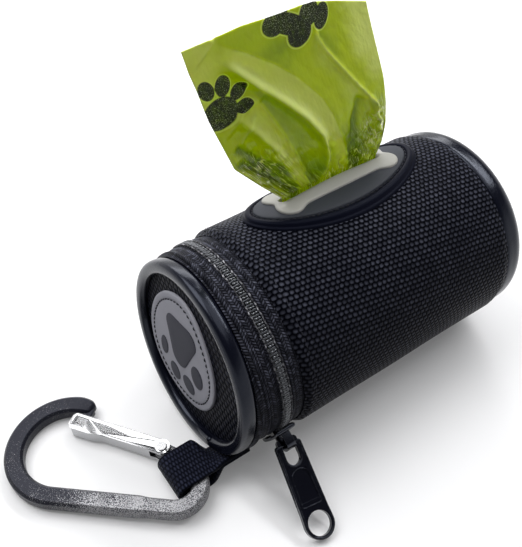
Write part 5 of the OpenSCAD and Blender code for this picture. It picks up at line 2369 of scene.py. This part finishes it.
    @staticmethod
    def prints(x: Rows, s: Rows) -> Rows:
        """Draws a bone at the top and paw prints at the side, as soft-edged masks."""

        def blob(cx: float, cy: float, a: float, b: float, lean: float) -> Rows:
            """Gives an oval that is 0.5 at its edge and falls off outside it."""
            turn = radians(lean)
            u = (x - cx) * cos(turn) + (s - cy) * sin(turn)
            v = -(x - cx) * sin(turn) + (s - cy) * cos(turn)
            return 1 - 0.5 * np.sqrt((u / a) ** 2 + (v / b) ** 2)

        shapes = [
            blob(-16.2, 49.0, 3.4, 2.9, -20), blob(-14.5, 53.0, 3.2, 3.0, 0), blob(-8.6, 44.4, 3.6, 3.4, 20),
            blob(-5.6, 48.0, 3.0, 3.2, 0), blob(-12.0, 47.6, 6.2, 2.5, -28), blob(-1.6, 45.9, 2.3, 3.1, -12),
            blob(-31.2, 30.4, 4.7, 4.1, 35), blob(-34.4, 37.6, 1.9, 2.9, 25), blob(-30.2, 37.8, 1.9, 2.9, 2),
            blob(-26.3, 35.4, 1.8, 2.6, -28), blob(-25.1, 31.0, 1.6, 2.3, -60),
        ]
        return np.clip(np.max(shapes, axis=0), 0, 1)


@dataclass
class Studio:
    """The floor, the lamps, the world and the camera."""

    spot: Spot = (-0.107698, -0.110365, 0.199246)
    azimuth: float = -0.608571263
    elevation: float = 0.841193191
    roll: float = 0.00183835844
    lens: float = 50.07
    floor_glow: float = 0.13
    sky: float = 0.09

    def build(self) -> None:
        """Sets the whole studio up."""
        self.floor()
        self.world()
        self.lamps()
        self.camera()
        bpy.context.scene.view_settings.view_transform = "Standard"

    def floor(self) -> None:
        """Lays the pale floor, which the camera sees as white with the shadow kept."""
        Bench.clear()
        bpy.ops.mesh.primitive_plane_add(size=6, location=(0, 0, 0))
        floor = Bench.named("floor")
        material = bpy.data.materials.new("pale floor")
        material.use_nodes = True
        graph = Graph(material.node_tree)
        matt, shown = (graph.node("ShaderNodeBsdfPrincipled") for _ in range(2))
        for shader, colour in ((matt, (0.12, 0.12, 0.13, 1)), (shown, (0.84, 0.84, 0.85, 1))):
            graph.fill(shader, Base_Color=colour, Roughness=0.9, Specular_IOR_Level=0)
        glow = graph.node("ShaderNodeEmission", (1, 1, 1, 1), self.floor_glow)
        both = graph.node("ShaderNodeAddShader", shown.outputs[0], glow.outputs[0])
        place = graph.node("ShaderNodeTexCoord").outputs["Object"]
        reach = graph.node("ShaderNodeVectorMath", place, operation="LENGTH").outputs["Value"]
        bright = graph.node("ShaderNodeEmission", (1, 1, 1, 1))
        far = graph.span(reach, 0.22, 0.5)
        fading = graph.node("ShaderNodeMixShader", far, both.outputs[0], bright.outputs[0])
        path = graph.node("ShaderNodeLightPath").outputs
        seen = graph.sum("MAXIMUM", path["Is Camera Ray"], path["Is Glossy Ray"])
        seen = graph.sum("MAXIMUM", seen, path["Is Transmission Ray"])
        mix = graph.node("ShaderNodeMixShader", seen, matt.outputs[0], fading.outputs[0])
        graph.node("ShaderNodeOutputMaterial", mix.outputs[0])
        floor.data.materials.append(material)

    def world(self) -> None:
        """Lights all evenly, white to the camera, with pale walls under a dimmer ceiling in reflections."""
        world = bpy.data.worlds.new("studio")
        bpy.context.scene.world = world
        world.use_nodes = True
        graph = Graph(world.node_tree)
        soft = graph.node("ShaderNodeBackground", (0.93, 0.95, 1.0, 1), self.sky)
        white = graph.node("ShaderNodeBackground", (1, 1, 1, 1), 1)
        height = graph.parts(graph.node("ShaderNodeTexCoord").outputs["Generated"])[2]
        path = graph.node("ShaderNodeLightPath").outputs
        walls = graph.times(path["Is Glossy Ray"], graph.span(height, 0.15, 0.55, 1, 0))
        seen = graph.sum("MAXIMUM", path["Is Camera Ray"], path["Is Transmission Ray"])
        share = graph.sum("MAXIMUM", seen, walls)
        mix = graph.node("ShaderNodeMixShader", share, soft.outputs[0], white.outputs[0])
        graph.node("ShaderNodeOutputWorld", mix.outputs[0])

    def lamps(self) -> None:
        """Hangs four soft lamps: a broad one over the back left, one on top, a strip and one behind."""
        for name, place, target, size, watts in (
            ("key", (-0.18, 0.22, 0.5), (0, 0, 0.04), (0.4, 0.4), 2.4),
            ("top", (0.12, -0.06, 0.6), (0, 0, 0.04), (0.45, 0.4), 1.0),
            ("strip", (0.36, 0.08, 0.52), (0, 0, 0.03), (0.6, 0.1), 2.2),
            ("back", (0.2, 0.5, 0.3), (0, 0, 0.04), (0.5, 0.2), 1.5),
        ):
            light = bpy.data.lights.new(name, "AREA")
            light.shape = "RECTANGLE"
            light.size, light.size_y = size
            light.energy = watts
            lamp = bpy.data.objects.new(name, light)
            bpy.context.collection.objects.link(lamp)
            lamp.location = place
            run = Vector(target) - Vector(place)
            lamp.rotation_euler = run.to_track_quat("-Z", "Y").to_euler()

    def camera(self) -> None:
        """Stands the camera where it looks down at the lid, the port and the zip."""
        az, el = self.azimuth, self.elevation
        back = Vector((sin(az) * cos(el), -cos(az) * cos(el), sin(el)))
        right = (-back).cross(Vector((0, 0, 1))).normalized()
        up = right.cross(-back)
        turn_right = right * cos(self.roll) + up * sin(self.roll)
        turn_up = up * cos(self.roll) - right * sin(self.roll)
        lens = bpy.data.cameras.new("view")
        lens.lens = self.lens
        lens.sensor_width = 36
        lens.clip_start = 0.01
        camera = bpy.data.objects.new("view", lens)
        bpy.context.collection.objects.link(camera)
        turn = Matrix((turn_right, turn_up, back)).transposed().to_4x4()
        camera.matrix_world = laid(*self.spot) @ turn
        bpy.context.scene.camera = camera


def main() -> None:
    logging.basicConfig(level=logging.INFO, format="%(name)s: %(message)s")
    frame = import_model()
    wardrobe = Wardrobe()
    Studio().build()
    for assembly in (Pouch, Port, Zip, Lid, Slider, Strap, Carabiner, Bags):
        assembly(wardrobe).build()
        LOG.info("%s built", assembly.__name__)


if __name__ == "__main__":
    main()
